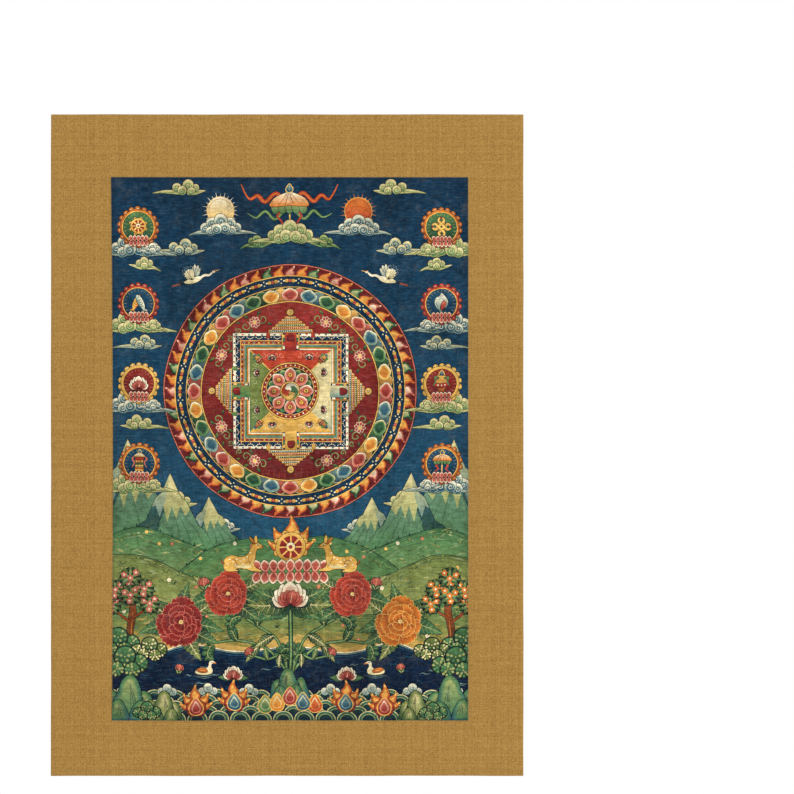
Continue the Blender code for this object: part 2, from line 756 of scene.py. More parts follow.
def bud(put):
    for turn in (-16, 16, 0):
        petal = at(0, 0, 0.8, turn, on=put)
        shape(petal, petalOutline, "crimson", "rose", span=[(0, 0), (0, 18)])
        line(petal([(0, 3), (0, 16)]), "cream", 0.5, thinTip)
    for turn in (-40, 40):
        leaf(at(0, -2, 0.4, turn, on=put))


def headingOf(start, end):
    # the turn that points a motif's own up from start to end
    return math.degrees(math.atan2(start[0] - end[0], end[1] - start[1]))


def scrollLeaf(put):
    # a leaf that curls to its own right, with lobes down both sides
    deep, body, vein = leafGreen
    spine = smooth([(0, 0), (1.5, 9), (6, 17), (14, 21), (21, 17)], 4, False)
    for step, size in ((2, 0.50), (5, 0.60), (8, 0.56), (11, 0.46), (13, 0.36)):
        heading = headingOf(spine[step], spine[step + 1])
        for side in (-1, 1):
            lobe = at(*spine[step], size, heading + side * 56, on=put)
            shape(lobe, petalOutline[::2], deep, body, edgeWidth=0.45)
            line(lobe([(0, 5), (0, 17)]), vein, 0.45, thinTip)
    tip = at(*spine[13], 0.42, headingOf(spine[13], spine[15]), on=put)
    shape(tip, petalOutline[::2], deep, body, edgeWidth=0.45)
    line(put(spine), vein, 0.9, softTip)


def toothedLeaf(put, tones, bend):
    # a broad leaf with a toothed edge and pale veins, which bends to its own right
    deep, body, vein = tones
    edge = [(0, 0)]
    for i in range(1, 8):
        half = 7.6 * math.sin(math.pi * (i / 8) ** 0.8)
        edge += [(half * 0.84, 29 * i / 8 - 1.6), (half, 29 * i / 8)]
    edge.append((0, 31))

    def bent(points):
        return [(x + bend * (y / 30) ** 2, y) for x, y in points]

    shape(put, bent(bothSides(edge)), deep, body, span=[(0, 2), (0, 26)])
    line(put(bent([(0, 0), (0, 10), (0, 20), (0, 29)])), vein, 0.95, softTip)
    for i in range(6):
        y, reach = 3 + i * 3.8, 5.9 * math.sin(math.pi * ((i + 1.3) / 8) ** 0.8)
        for side in (-1, 1):
            line(put(bent([(0, y), (side * reach, y + 3.6)])), vein, 0.5, thinTip)


def leafyStem(points, side, size):
    stem = smooth(points, 4, False)
    lines(stem, ("ink", 3.4), ("green", 2.4), ("sage", 0.6), thin=(1, 0.6))
    for i, start in enumerate(range(2, len(stem) - 2, 3)):
        hand = side if i % 2 else -side
        heading = headingOf(stem[start], stem[start + 1])
        if i % 3:
            tones = mossGreen if i % 3 == 1 else leafGreen
            toothedLeaf(at(*stem[start], size * 1.15, heading - hand * 58), tones, hand * 5)
        else:
            scrollLeaf(at(*stem[start], size, heading - hand * 42, hand))


def floret(put, tone="rose", heart="gold"):
    for spot in around(put, 5, 1.1):
        dot(spot, 0, 0, 0.95, tone, sides=7)
    dot(put, 0, 0, 0.7, heart, sides=6)


def lotusSeat(put, count, width):
    # a row of petals turned up and a row turned down, drawn in towards the middle
    deep, body, pale = lotusPink
    order = sorted(range(count), key=lambda i: -abs(i - (count - 1) / 2))
    for turn, lift, fan in ((180, 0.5, 0.5), (0, -0.5, -0.5)):
        for i in order:
            across = (i - (count - 1) / 2) * width / count
            petal = at(across, lift, width / count / 12.5, turn + across * fan, on=put)
            shape(petal, petalOutline, body, pale, span=[(0, 0), (0, 20)])
            shape(petal, swell(petalOutline, -2.4), deep, body, edge=None, span=[(0, 0), (0, 18)])


# Clouds, water, hills and rocks

cloudPlans = {
    # the puffs, each across, up and radius, and the tails, each across, up, reach and rise
    "bank": {
        "puffs": [(-21, 0, 6), (21, 0, 6.5), (-12, 5, 8), (12, 6, 7.5), (0, 9, 9), (-14, -4, 6), (14, -5, 6),
                  (-5, -1, 7.5), (6, -2, 7)],
        "tails": [(-18, -6, -30, -1), (18, -6, 26, -2)],
    },
    "drift": {
        "puffs": [(-14, 1, 5), (11, 2, 6), (-4, 5, 7.5), (4, -2, 6), (-8, -3, 5)],
        "tails": [(10, -4, 34, -1), (-12, -5, -16, 1)],
    },
    "knot": {
        "puffs": [(-8, 2, 5), (8, 2, 5.5), (0, 5, 6.5), (0, -2, 5.5)],
        "tails": [(6, -4, 20, -3), (-6, -4, -18, 2)],
    },
}


def cloud(put, plan, tones):
    deep, body, pale = tones
    for x, y, reach, rise in cloudPlans[plan]["tails"]:
        farX = x + reach * 0.5
        tail = [(x * 0.3, y + 4), (x, y + 3), (farX, y + 2.6 + rise * 0.4), (x + reach, y + rise * 2),
                (farX, y - 1.4 + rise * 0.4), (x, y - 3.4), (x * 0.3, y - 3)]
        form(put, tail, body, pale)
        vein = [(x * 0.4, y), (x + reach * 0.3, y + rise * 0.2), (x + reach * 0.8, y + rise * 1.2)]
        line(put(vein), deep, 0.6, thinTip)
    for x, y, radius in cloudPlans[plan]["puffs"]:
        shape(put, disc(x, y, radius), body, pale, span=[(0, y - radius), (0, y + radius * 0.8)])
        dot(put, x, y - radius * 0.2, radius * 0.7, deep, body)
        hand = 1 if x < 0 else -1
        swirl = curl(x, y - radius * 0.1, radius * 0.52, 1.2, 90 + 60 * hand, hand, 9)
        line(put(swirl), pale, 0.6, (0.5, 1))


hillDabs = {
    "perMillimetre": 1.25,
    "tones": ("pine", "cream", "pine", "ochre", "mist"),
    "depth": 60,  # how far below the crest they reach
}
hillContours = [(1.6, 0.2), (4.2, 0.45), (7.5, 0.7), (12, 0.8), (18, 0.9)]  # drop, and how faint


def hill(foot, crest, low, high):
    # a rounded hill with contour lines under its crest and dabs of other greens along its slopes
    left, right = crest[0][0], crest[-1][0]
    top = smooth(crest, 6, False)
    lay([(left, foot)] + top + [(right, foot)], low, high)
    for _ in range(int((right - left) * hillDabs["perMillimetre"])):
        spot = random.choice(top)
        x, y = spot[0] + random.uniform(-6, 6), spot[1] - random.uniform(2, hillDabs["depth"])
        reach, lean = random.uniform(3, 12), random.uniform(-0.25, 0.25)
        dab = [(x, y), (x + reach * 0.5, y + reach * lean + 0.6), (x + reach, y + reach * lean * 2)]
        other = random.choice(hillDabs["tones"])
        tone = mixed(mixed(low, high, random.random()), other, random.uniform(0.15, 0.45))
        line(dab, tone, random.uniform(0.8, 2.4), thinEnds)
    line(top, "pine", 0.9)
    for drop, faint in hillContours:
        lower = [(
            x + math.sin(x * 0.21 + drop) * 1.2,
            y - drop - math.sin(x * 0.09 + drop * 0.5) * drop * 0.12,
        ) for x, y in top]
        line(lower, mixed("pine", high, faint), 0.6)


def firRow(crest):
    # small firs along the crest of a far hill
    ridge = smooth(crest, 8, False)
    for i, (x, y) in enumerate(ridge[4:-4:3]):
        tall = 3.4 + 1.1 * math.sin(i * 2.3)
        lay([(x - 1.5, y - 1.0), (x, y + tall), (x + 1.5, y - 1.0)], "ink", "pine")
        lay([(x - 2.0, y - 1.6), (x, y + tall * 0.5), (x + 2.0, y - 1.6)], "pine")


def tuft(put, tone="pine", tip="moss"):
    for lean in (-4.5, -2.2, 0, 2.4, 4.6):
        blade = [(lean * 0.2, 0), (lean * 0.6, 2.6), (lean, 4.6 - abs(lean) * 0.25)]
        line(put(blade), tone if abs(lean) > 3 else tip, 0.7, thinTip)


# a peak's outline, in shares of half its width and of its height
peakLeft = [(-1, 0), (-0.72, 0.30), (-0.58, 0.36), (-0.34, 0.66), (-0.24, 0.70)]
peakRight = [(0, 1), (0.17, 0.76), (0.29, 0.70), (0.5, 0.42), (0.66, 0.36), (1, 0)]
peakShade = peakRight + [(0.3, 0), (0.22, 0.4), (0.06, 0.62)]
snowRight = peakRight[:3] + [(0.38, 0.58), (0.30, 0.60), (0.22, 0.46), (0.14, 0.60)]
snowLeft = [(0.06, 0.40), (-0.04, 0.60), (-0.12, 0.44), (-0.22, 0.60), (-0.32, 0.48)]


def snowPeak(put, width, height):
    def ridge(pairs):
        return [(x * width / 2, y * height) for x, y in pairs]

    shape(put, ridge(peakLeft + peakRight), "green", "mist")
    lay(put(ridge(peakShade)), "pine", mixed("sky", "mist", 0.4))
    lay(put(ridge([(-0.42, 0.56)] + peakLeft[3:] + snowRight + snowLeft)), "sage", "cream")
    lay(put(ridge(snowRight + [(0.08, 0.70)])), "mist", mixed("sage", "cream", 0.5))
    for side, share in ((-1, 0.62), (-1, 0.4), (-1, 0.2), (1, 0.3), (1, 0.55)):
        crease = ridge([(side * share * 0.4, 0.52), (side * share * 0.9, 0.28), (side * share * 1.2, 0.04)])
        line(put(crease), mixed("pine", "green", 0.5), 0.8, (0.3, 0.6))


rockBlocks = [
    [(-20, 0), (-20, 11), (-17, 18), (-12, 20), (-8, 15), (-6, 0)],
    [(6, 0), (6, 14), (10, 21), (15, 20), (18, 12), (21, 0)],
    [(-11, 0), (-11, 18), (-8, 28), (-3, 32), (3, 28), (6, 20), (10, 12), (10, 0)],
    [(-17, -2), (-16, 8), (-11, 13), (-5, 9), (-2, -2)],
    [(-1, -2), (1, 9), (6, 14), (12, 10), (15, -2)],
]


def rock(put, tones):
    deep, body, pale = tones
    for block in rockBlocks:
        placed = form(put, block, deep, body, edgeWidth=0.7)
        for inward, share in ((1.3, 0.15), (2.5, 0.4), (3.7, 0.65), (4.9, 0.9)):
            lay(swell(placed, -inward), mixed(deep, body, share), mixed(body, pale, share))
        foot, head = block[0], max(block, key=lambda p: p[1])
        for lean in (-0.3, 0.1, 0.45):
            crack = [(
                head[0] * (1 - t) + (foot[0] + 4 + lean * 8) * t,
                head[1] * (0.8 - t * 0.7),
            ) for t in (0, 0.4, 0.9)]
            line(put(crack), mixed(deep, "ink", 0.5), 0.6, (0.2, 0.5))


def bush(put, tones):
    deep, body, pale = tones
    for x, y, radius in ((-14, 3, 8), (13, 4, 8.5), (0, 10, 10), (-7, -1, 7), (7, -2, 7.5)):
        bead(put, x, y, radius, "ink", deep)
        dot(put, x, y, radius - 1.0, deep, body)
        for reach, count in ((0.74, 10), (0.38, 5)):
            for i, spot in enumerate(around(put, count, radius * reach, x, y, 9 * x, 0.15)):
                lay(spot([(px, py - 10) for px, py in petalOutline[::2]]), pale if i % 3 else body)
        dot(put, x, y, 0.8, pale, sides=7)


waterRows = {
    "left": -192,
    "right": 192,
    "low": -292,
    "high": -264,
    "radius": 11.5,
}


def waves():
    # rows of overlapping scales, the nearest row last
    water, radius = waterRows, waterRows["radius"]
    scale = [
        # how far inside its rim each band begins, and its wash
        (0, "ink", None),
        (0.5, "sage", "cream"),
        (1.5, mixed("pine", "lake", 0.3), mixed("green", "sky", 0.35)),
        (4.0, "moss", "sage"),
        (4.8, "lake", mixed("pine", "night", 0.4)),
    ]
    for row in range(int((water["high"] - water["low"]) / (radius * 0.5)) + 1):
        y = water["high"] - row * radius * 0.5
        x = water["left"] + (radius if row % 2 else 0)
        while x < water["right"] + radius:
            ripple = at(x, y - radius * 0.4)
            for inside, tone, toTone in scale:
                lay(ripple(disc(0, 0, radius - inside, 0.9)), tone, toTone)
            x += radius * 2


def foam(put):
    for x, y, radius, hand in ((-7, 0, 4.5, 1), (7, 0, 4.5, -1), (0, 4, 5.5, 1)):
        bead(put, x, y, radius, "mist", "shell")
        line(put(curl(x, y, radius * 0.62, 1.2, 90, hand, 10)), "sky", 0.6, (0.4, 1))


flameOutline = smooth([(-7, 0), (-8, 6), (-4, 10), (-5, 15), (0, 24), (0, 24), (1, 18), (4, 14), (3, 10),
                       (8, 6), (7, 0)], 3)


def flames(put):
    deep, body, pale = flameRed
    for turn, size in ((-62, 0.8), (62, 0.8), (-34, 0.95), (34, 0.95), (0, 1.15)):
        placed = shape(at(0, 0, size, turn, 1 if turn > 0 else -1, put), flameOutline, deep, body)
        lay(swell(placed, -2.0), body, pale)


def jewel(put, tone="sky", glow="mist"):
    drop = bothSides([(0, -6), (4.4, -4.4), (6, 0), (4, 4.5), (0, 9)])
    placed = form(put, drop, tone, glow, edge="gold", edgeWidth=0.9)
    lay(swell(placed, -2.4), glow, "shell")
    lay(swell(placed, -3.4), tone, glow)


# The eight lucky emblems, each about 26 high

def wheel(put):
    for spot in around(put, 8, 10.6, start=22.5):
        bead(spot, 0, 0, 2.2, "ochre", "gold")
    bead(put, 0, 0, 10.6, "ochre", "gold")
    dot(put, 0, 0, 8.2, "crimson")
    for spot in around(put, 8, 0):
        line(spot([(0, 2), (0, 4.4), (0, 8.4)]), "gold", 1.5)
    bead(put, 0, 0, 3.2, "gold", "shell")
    dot(put, 0, 0, 1.5, "crimson")


def parasol(put):
    line(put([(0, -13), (0, 12)]), "gold", 1.4)
    for side in (-1, 1):
        stroke(put, [(side * 2, 1), (side * 8, -3), (side * 5, -8), (side * 10, -12)], "red", 2.0, softTip)
    for x in (-9, -4.5, 0, 4.5, 9):
        form(put, [(x - 2.6, 4), (x + 2.6, 4), (x + 2, -0.5), (x, -2), (x - 2, -0.5)], "green", "sage", 2)
    form(put, bothSides([(0, 3.4), (12.5, 3), (10, 8), (4, 11), (0, 12)]), "orange", "shell")
    for lean in (-7, -2.5, 2.5, 7):
        line(put([(lean * 0.2, 11), (lean, 4)]), "rust", 0.6)
    jewel(at(0, 14, 0.34, on=put))


def twoFish(put):
    body = smooth([(0, -12), (2.6, -8), (4.2, -1), (3.6, 6), (0, 11), (-3.2, 7), (-3.8, 0), (-1.6, -8)], 3)
    tail = [(0, -9), (5, -14), (1, -12.5), (-3.5, -15)]
    for side, tone, pale, scales in ((-1, "orange", "gold", "rust"), (1, "mist", "shell", "sky")):
        fish = at(side * 2.5, 0, 1, side * 24, side, put)
        shape(fish, tail, tone, pale)
        shape(fish, body, tone, pale, span=[(-4, 0), (3, 0)])
        for up in (-6, -3, 0, 3):
            line(fish(arc(0, up + 3, 3.2, 215, 325, 5)), scales, 0.5)
        dot(fish, 1.0, 7.4, 0.8, "ink")


def vase(put):
    jewel(at(0, 12, 0.5, on=put))
    half = [(0, -12), (5.4, -12), (3.8, -9), (8.8, -3), (7.2, 3.6), (3, 5.6), (3.4, 8), (6.4, 9.6), (0, 9.8)]
    form(put, bothSides(half), "rust", "gold")
    form(put, bothSides([(0, -6), (8.0, -4.6), (8.3, -0.6), (0, -1.4)]), "crimson", "red")
    for x in (-4.6, 0, 4.6):
        dot(put, x, -3.2 + abs(x) * 0.12, 1.1, "shell")
    for side in (-1, 1):
        scarf = [(side * 3, 6), (side * 9, 8), (side * 8, 2), (side * 11, -4)]
        stroke(put, scarf, "green", 1.8, (0.6, 0.3))


def conch(put):
    shell = [(-1, -13), (3, -9), (8, -3), (9, 3), (5, 9), (0, 13), (-2, 9), (-7, 7), (-9, 1), (-7, -5),
             (-3, -9)]
    form(put, shell, "mist", "shell")
    form(put, [(1, -10), (5, -5), (6.5, 0), (3.4, 3.4), (0, -1), (-1, -6)], "crimson", "rose")
    for up in (4.6, 7, 9.2):
        stroke(put, [(-7 + up * 0.5, up), (0, up + 1.6), (7.5 - up * 0.45, up)], "sky", 0.6, (0.3, 0.3), 3)
    stroke(put, [(-7, 1), (-5, -4), (-2, -9)], "sky", 0.6, (0.3, 0.3), 3)


def endlessKnot(put):
    dark, light = ("ink", 3.2), ("gold", 2.2)
    for x, y in ((-8, 0), (8, 0), (0, 8), (0, -8)):
        turn = math.degrees(math.atan2(y, x))
        lines(put(arc(x, y, 4, turn - 150, turn + 150, 12)), dark, light)
    for layer in (dark, light):
        for strand in ([(-8, -4), (4, 8)], [(-4, -8), (8, 4)]):
            lines(put(strand), layer)
    for strand in ([(-8, 4), (4, -8)], [(-4, 8), (8, -4)]):
        lines(put(strand), dark, light)
    for strand in ([(-3.4, 0.6), (-0.6, 3.4)], [(0.6, -3.4), (3.4, -0.6)]):  # the first pair comes over again
        lines(put(strand), light)
    for x, y in ((-12, 0), (12, 0), (0, 12), (0, -12)):
        bead(put, x, y, 1.5, "crimson", "rose")


def banner(put):
    line(put([(0, -13), (0, 13)]), "gold", 1.4)
    for side in (-1, 1):
        scarf = [(side * 5, 8), (side * 10, 5), (side * 7, -1), (side * 10, -7)]
        stroke(put, scarf, "rose", 1.8, (0.6, 0.3))
    for low, tone, pale in ((-11, "rust", "orange"), (-5, "pine", "green"), (1, "crimson", "red")):
        shape(put, box(-5.6, low, 5.6, low + 7), tone, pale)
        for x in (-3.7, 0, 3.7):
            tooth = [(x - 1.9, low + 1), (x + 1.9, low + 1), (x, low - 2.4)]
            form(put, tooth, pale, "gold", 2, edgeWidth=0.35)
    form(put, bothSides([(0, 7.4), (7.4, 7.6), (4, 11), (0, 12)]), "ochre", "shell")
    jewel(at(0, 14, 0.3, on=put))


def littleLotus(put):
    lotus(at(0, -7, 0.72, on=put))


def roundel(put, emblem, field, rim):
    for spot in around(put, 18, 19.4):
        bead(spot, 0, 0, 3.0, *rim)
        dot(spot, 0, -0.2, 1.5, rim[1], "shell")
    bead(put, 0, 0, 19.4, *rim)
    rings(put, (17.4, "gold"), (16.6, "ink"))
    dot(put, 0, 0, 16.2, *field)
    for spot in around(put, 24, 15.4):
        line(spot([(0, 0), (0, -3.2)]), mixed(field[1], "gold", 0.6), 0.5, thinTip)
    emblem(at(0, 1.2, 0.8, on=put))
    lotusSeat(at(0, -14.5, on=put), 5, 20)


# Animals and trees

feather = smooth(bothSides([(0, 0), (1.7, 4), (2.1, 9), (1.2, 14), (0, 16)]), 2)


def crane(put):
    # flies to its own right with its wings raised
    for lean, size in ((8, 0.9), (-6, 1.0), (-20, 0.95), (-34, 0.8)):
        shape(at(2, 1, size, lean, on=put), feather, "mist", "shell", edgeWidth=fine)
    for rise in (-3.4, -2.2):
        line(put([(-10, -1.5), (-18, rise), (-25, rise - 0.6)]), "rust", 0.8)
    for lean in (78, 92, 106):
        shape(at(-7, -0.5, 0.55, lean, on=put), feather, "ink", "sky", edgeWidth=0.35)
    neck = [(6, 0), (13, 3), (18, 2.4), (23, 5.5)]
    stroke(put, neck, "ink", 3.4, (1, 0.6))
    form(put, [(-11, -1.5), (-4, -4), (5, -3), (10, 1), (5, 3), (-4, 2)], "cream", "shell")
    stroke(put, neck, "shell", 2.4, (1, 0.6))
    shape(put, disc(23.6, 5.8, 1.7), "shell", edgeWidth=fine)
    dot(put, 23.8, 6.9, 0.9, "red")
    line(put([(25, 5.9), (30.5, 6.6)]), "gold", 1.1, softTip)
    for lean, size in ((66, 0.7), (54, 0.9), (42, 1.05), (30, 1.12), (18, 1.1), (6, 1.0)):
        spot = at(0, 0.6, size, lean, on=put)
        shape(spot, feather, "cream", "shell", edgeWidth=fine)
        lay(spot([(1.7, 11.6), (0.9, 14.8), (0, 16), (-0.9, 14.8), (-1.7, 11.6)]), "sky")


deerParts = {
    "body": [(-19, -5), (-18, 3), (-11, 7.5), (-2, 6.2), (6, 7.5), (10, 12), (12.5, 18), (14.5, 22),
             (19, 22.4), (25.5, 18.6), (25.2, 16.6), (20, 15.8), (17.8, 12), (17, 5), (15.6, -1), (18, -6),
             (24, -8.4), (23, -10), (13, -9.6), (8, -7.5), (0, -7), (-6, -8), (-2, -10), (-15, -10.4)],
    "belly": [(-8, -5), (2, -3), (11, -3), (14, 3), (15.6, 10), (14.4, 3), (12, -5), (4, -6.4)],
    "haunch": [(-15, -1), (-8, 3), (-4, -2), (-8, -7)],
    "shoulder": [(10.5, 11), (9, 5), (12, -1), (15, -6)],
    "tail": [(-18, -2), (-21.5, 0), (-21, 3.4)],
    "spots": [(-12, 3), (-8, 0.6), (-4, 3.4), (0, 1), (4, 3.8), (8, 6), (-14, -2), (11, 11), (-5, -3),
              (3, -2)],
    "farEar": [(15, 21), (11, 25), (9.6, 29), (13.6, 26.6), (17, 22.6)],
    "nearEar": [(16.6, 22), (15.6, 27), (17.4, 30.6), (18.8, 27), (18.8, 22.6)],
}


def deer(put):
    # lies facing its own right, head raised
    form(put, deerParts["body"], "gold", "ochre", span=[(0, -8), (0, 16)])
    lay(put(smooth(deerParts["belly"], 3)), "cream")
    stroke(put, deerParts["haunch"], "rust", 0.7, (0.3, 0.6))
    stroke(put, deerParts["shoulder"], "rust", 0.6, (0.3, 0.4))
    stroke(put, deerParts["tail"], "rust", 1.8, softTip, 3)
    for x, y in deerParts["spots"]:
        dot(put, x, y, 0.9, "shell", sides=8)
    form(put, deerParts["farEar"], "rust", "ochre")
    form(put, deerParts["nearEar"], "ochre", "gold")
    shape(put, disc(19.4, 19.6, 1.1, 0.8, 9), "ink", edge="cream", edgeWidth=fine)
    line(put([(22.6, 17.7), (25.4, 17.4)]), "ink", 0.6)
    dot(put, 25.0, 18.6, 0.8, "ink", sides=7)


def duck(put):
    body = [(-9, 1), (-7, -2), (0, -3), (7, -1.6), (8, 2), (6.4, 4.6), (7, 8), (11, 8.4), (7.4, 10.6),
            (4.2, 9.4), (3.6, 5), (0, 3), (-5, 4)]
    wing = [(-8, 2), (-3, -1), (3, 0), (1, 3), (-4, 4)]
    form(put, body, "cream", "shell")
    form(put, wing, "rust", "orange", edgeWidth=fine)
    line(put([(-5, 1.8), (0, 1)]), "gold", 0.6)
    line(put([(7.8, 8.6), (11.2, 8.2)]), "orange", 1.2)
    dot(put, 6.6, 9, 0.6, "ink")
    for y, reach in ((-3.6, 11), (-5.4, 7)):
        line(put([(-reach, y), (0, y - 0.8), (reach, y)]), "mist", 0.7, thinEnds)


treeParts = {
    "trunk": [(-5, 0), (-2.4, 8), (-2, 22), (-5, 40), (-3, 56), (0, 56), (1, 42), (4, 24), (3.6, 8), (7, 0)],
    # side, height, reach and rise of each branch, then across, up and radius of each crown
    "branches": [(-1, 34, 17, 12), (1, 30, 16, 15), (-1, 46, 12, 12), (1, 46, 13, 10)],
    "crowns": [(-18, 48, 9), (18, 47, 9), (-13, 62, 9), (14, 61, 9), (0, 72, 10), (0, 56, 9)],
    "blossoms": [(0, 0), (0.6, 0.3), (-0.5, 0.5), (0.1, -0.6)],  # in shares of a crown's radius
}


def tree(put, blossoms):
    form(put, treeParts["trunk"], "earth", "rust")
    stroke(put, [(-1, 2), (0, 20), (-2, 40)], "orange", 0.7, (0.3, 0.3))
    for side, y, reach, rise in treeParts["branches"]:
        branch = [(0, y), (side * reach * 0.6, y + rise * 0.5), (side * reach, y + rise)]
        stroke(put, branch, "ink", 3.0, (1, 0.4), 3)
        stroke(put, branch, "rust", 2.0, (1, 0.4), 3)
    for x, y, radius in treeParts["crowns"]:
        bead(put, x, y, radius, "ink", "pine")
        for spot in around(put, 11, radius * 0.74, x, y, 8 * x, radius / 30):
            shape(at(0, -10, on=spot), leafOutline[::2], "pine", "moss", edgeWidth=0.3)
            line(spot([(0, -6), (0, 10)]), "sage", 0.35, thinTip)
        for spot in around(put, 6, radius * 0.3, x, y, 5 * y, radius / 34):
            shape(at(0, -6, on=spot), leafOutline[::2], "green", "sage", edgeWidth=0.3)
        for across, up in treeParts["blossoms"]:
            floret(at(x + across * radius, y + up * radius, 1.5, on=put), *blossoms)


# The round palace, from its ring of flames to the lotus in the middle

mandala = {
    "x": 0.0,
    "y": 62.0,
    "radius": 137.0,
    "flames": 64,
    "sceptres": 40,
    "petals": 32,
    "rays": 96,
    "tongueHeight": 13.5,  # of a flame as it is drawn, before it is sized to its ring
    "petalSize": (15.4, 20.0),  # likewise, with a little room beside each petal
    "palace": 62.0,  # half the width of its outer wall
    "floor": 44.0,
    "middle": 31.0,
    # tones that take turns round a ring, deep, body and pale
    "ringTones": [("crimson", "rose", "shell"), ("sky", "mist", "shell"), ("pine", "green", "cream"),
                  ("orange", "gold", "shell")],
    "gateTones": [("crimson", "red"), ("green", "moss"), ("ochre", "gold"), ("mist", "cream")],
}

flameTongue = smooth([(-5, -1), (-5.8, 4), (-2.8, 7), (0.4, 8.6), (5.4, 12.4), (5.4, 12.4), (5.2, 8),
                      (3.6, 6), (5.6, 3), (5, -1)], 3)


def flameRing(put, outer, inner):
    rings(put, (outer, "ink"), (outer - 0.6, "rose"), (outer - 1.6, "blood"))
    size = (outer - inner) / mandala["tongueHeight"]
    for i, spot in enumerate(around(put, mandala["flames"], inner - 0.5, size=size)):
        deep, body, pale = ("red", "orange", "gold") if i % 2 else mandala["ringTones"][i % 4]
        placed = shape(spot, flameTongue, deep, body, edgeWidth=fine)
        lay(swell(placed, -1.6), body, pale)


def sceptreRing(put, outer, inner):
    rings(put, (outer, "gold"), (outer - 1.0, "ink"), (outer - 1.5, "night"))
    count, middle = mandala["sceptres"], (outer + inner) / 2
    for spot in around(put, count, middle):
        for side in (-1, 1):
            shape(spot, disc(side * 3.6, 0, 2.5, 0.72, 10), "ochre", "gold", edgeWidth=fine)
            dot(spot, side * 6.6, 0, 0.9, "shell")
        bead(spot, 0, 0, 1.7, "red", "rose", fine)
    for spot in around(put, count, middle, start=180 / count):
        for up in (2.2, -2.2):
            dot(spot, 0, up, 0.8, "cream")


def petalRing(put, outer, inner):
    rings(put, (outer + 0.8, "gold"), (outer, "pine"))
    count = mandala["petals"]
    petalWide, petalTall = mandala["petalSize"]
    size = 2 * math.pi * inner / count / petalWide
    tall = (outer - inner - 0.6) / (petalTall * size)
    outline = [(x, y * tall) for x, y in roundPetal]
    tones = mandala["ringTones"] * (count // 4)
    for spot, (deep, body, _) in zip(around(put, count, inner, start=180 / count, size=size), tones):
        shape(spot, outline, mixed(deep, "ink", 0.3), body, edge="cream", edgeWidth=fine)
    for spot, (deep, body, pale) in zip(around(put, count, inner, size=size), tones):
        placed = shape(spot, outline, body, pale, edgeWidth=0.45)
        lay(swell(placed, -1.5), body)
        lay(swell(placed, -2.9), deep, mixed(deep, body, 0.5))
    rings(put, (inner + 1.6, "ink"), (inner + 1.1, "gold"), (inner, "ink"))


bloomParts = {
    # across, up, radius, hand and turn of each scroll, then across, up, turn and size of each leaf
    "scrolls": [(-9, 1.5, 6.5, -1, 60), (10.5, -2, 5.8, 1, 120), (19, -4.5, 3.6, -1, 60)],
    "leaves": [(-4.5, 7, 55, 0.26), (5, 6, -60, 0.28), (-13, -4, 130, 0.22), (15.5, 2.6, -80, 0.2),
               (4, -6.5, -130, 0.24)],
}


def bloomCorner(put):
    # a flower and its scrolls, which fill one half of a segment beside a gate
    for x, y, radius, hand, turn in bloomParts["scrolls"]:
        line(put(curl(x, y, radius, 1.3, turn, hand, 12)), "green", 1.2, (0.6, 0.5))
        line(put(curl(x, y, radius - 0.3, 1.25, turn, hand, 12)), "sage", 0.5, (0.6, 0.5))
    for x, y, turn, size in bloomParts["leaves"]:
        shape(at(x, y, size, turn, on=put), leafOutline, "pine", "moss", edgeWidth=0.35)
    for spot in around(put, 8, 2.0, size=0.2):
        shape(spot, petalOutline, "crimson", "rose", edge="shell", edgeWidth=0.35)
    dot(put, 0, 0, 1.8, "gold")


gateTiers = [
    # half its width, foot, head and two tones
    (24, 1.0, 4.2, "sky", "mist"),
    (20, 4.2, 7.2, "crimson", "red"),
    (16.4, 7.2, 10.2, "pine", "green"),
    (13, 10.2, 13.0, "rust", "orange"),
    (9.6, 13.0, 15.6, "sky", "mist"),
    (6.4, 15.6, 18.0, "crimson", "rose"),
]


def gate(put, tones):
    # stands on the wall, its own zero at the wall's outer edge
    wall = mandala["palace"] - mandala["floor"]
    shape(put, box(-9.5, -wall + 0.5, 9.5, 1), "ochre", "gold")
    lay(put(box(-8.6, -wall, 8.6, 1)), "night")
    lay(put(box(-6.2, -wall - 1, 6.2, 1)), *tones)
    for side in (-1, 1):
        for i, tone in enumerate(("shell", "red", "green", "gold")):
            low = -wall + i * 4
            lay(put(box(side * 7.4 - 0.9, low + 1.5, side * 7.4 + 0.9, low + 4.8)), tone)
    form(put, bothSides([(0, -8), (3.6, -8), (3.6, -4), (2.4, -1.4), (0, -0.4)]), "blood", "crimson", 2)
    for half, low, high, tone, pale in gateTiers:
        tier = [(-half, low), (half, low), (half - 0.6, high), (-half + 0.6, high)]
        shape(put, tier, "ochre", "gold", edgeWidth=fine)
        foot, head = (half - 0.9, low + 0.7), (half - 1.4, high - 0.6)
        lay(put([(-foot[0], foot[1]), foot, head, (-head[0], head[1])]), tone, pale)
        for i in range(int(half / 2.2)):
            for side in (-1, 1):
                dot(put, side * (1.1 + i * 2.2), (low + high) / 2, 0.5, "shell")
    for side in (-1, 1):
        # a hanging banner at each end of the lowest tier
        flag = [(side * 22.6, 1), (side * 26, 1), (side * 26.4, -6), (side * 24.3, -3.8), (side * 22.2, -6)]
        shape(put, flag, *tones, edgeWidth=0.35)
    wheel(at(0, 22.4, 0.33, on=put))


wallBands = [
    # how far inside the outer wall each band begins
    (-0.6, "ink"), (0, "shell"), (2.6, "ink"), (3.0, "night"), (7.6, "gold"), (8.4, "crimson"),
    (11.2, "gold"), (11.9, "ink"), (12.2, "mist"), (13.6, "green"), (15.0, "orange"), (16.4, "shell"),
]


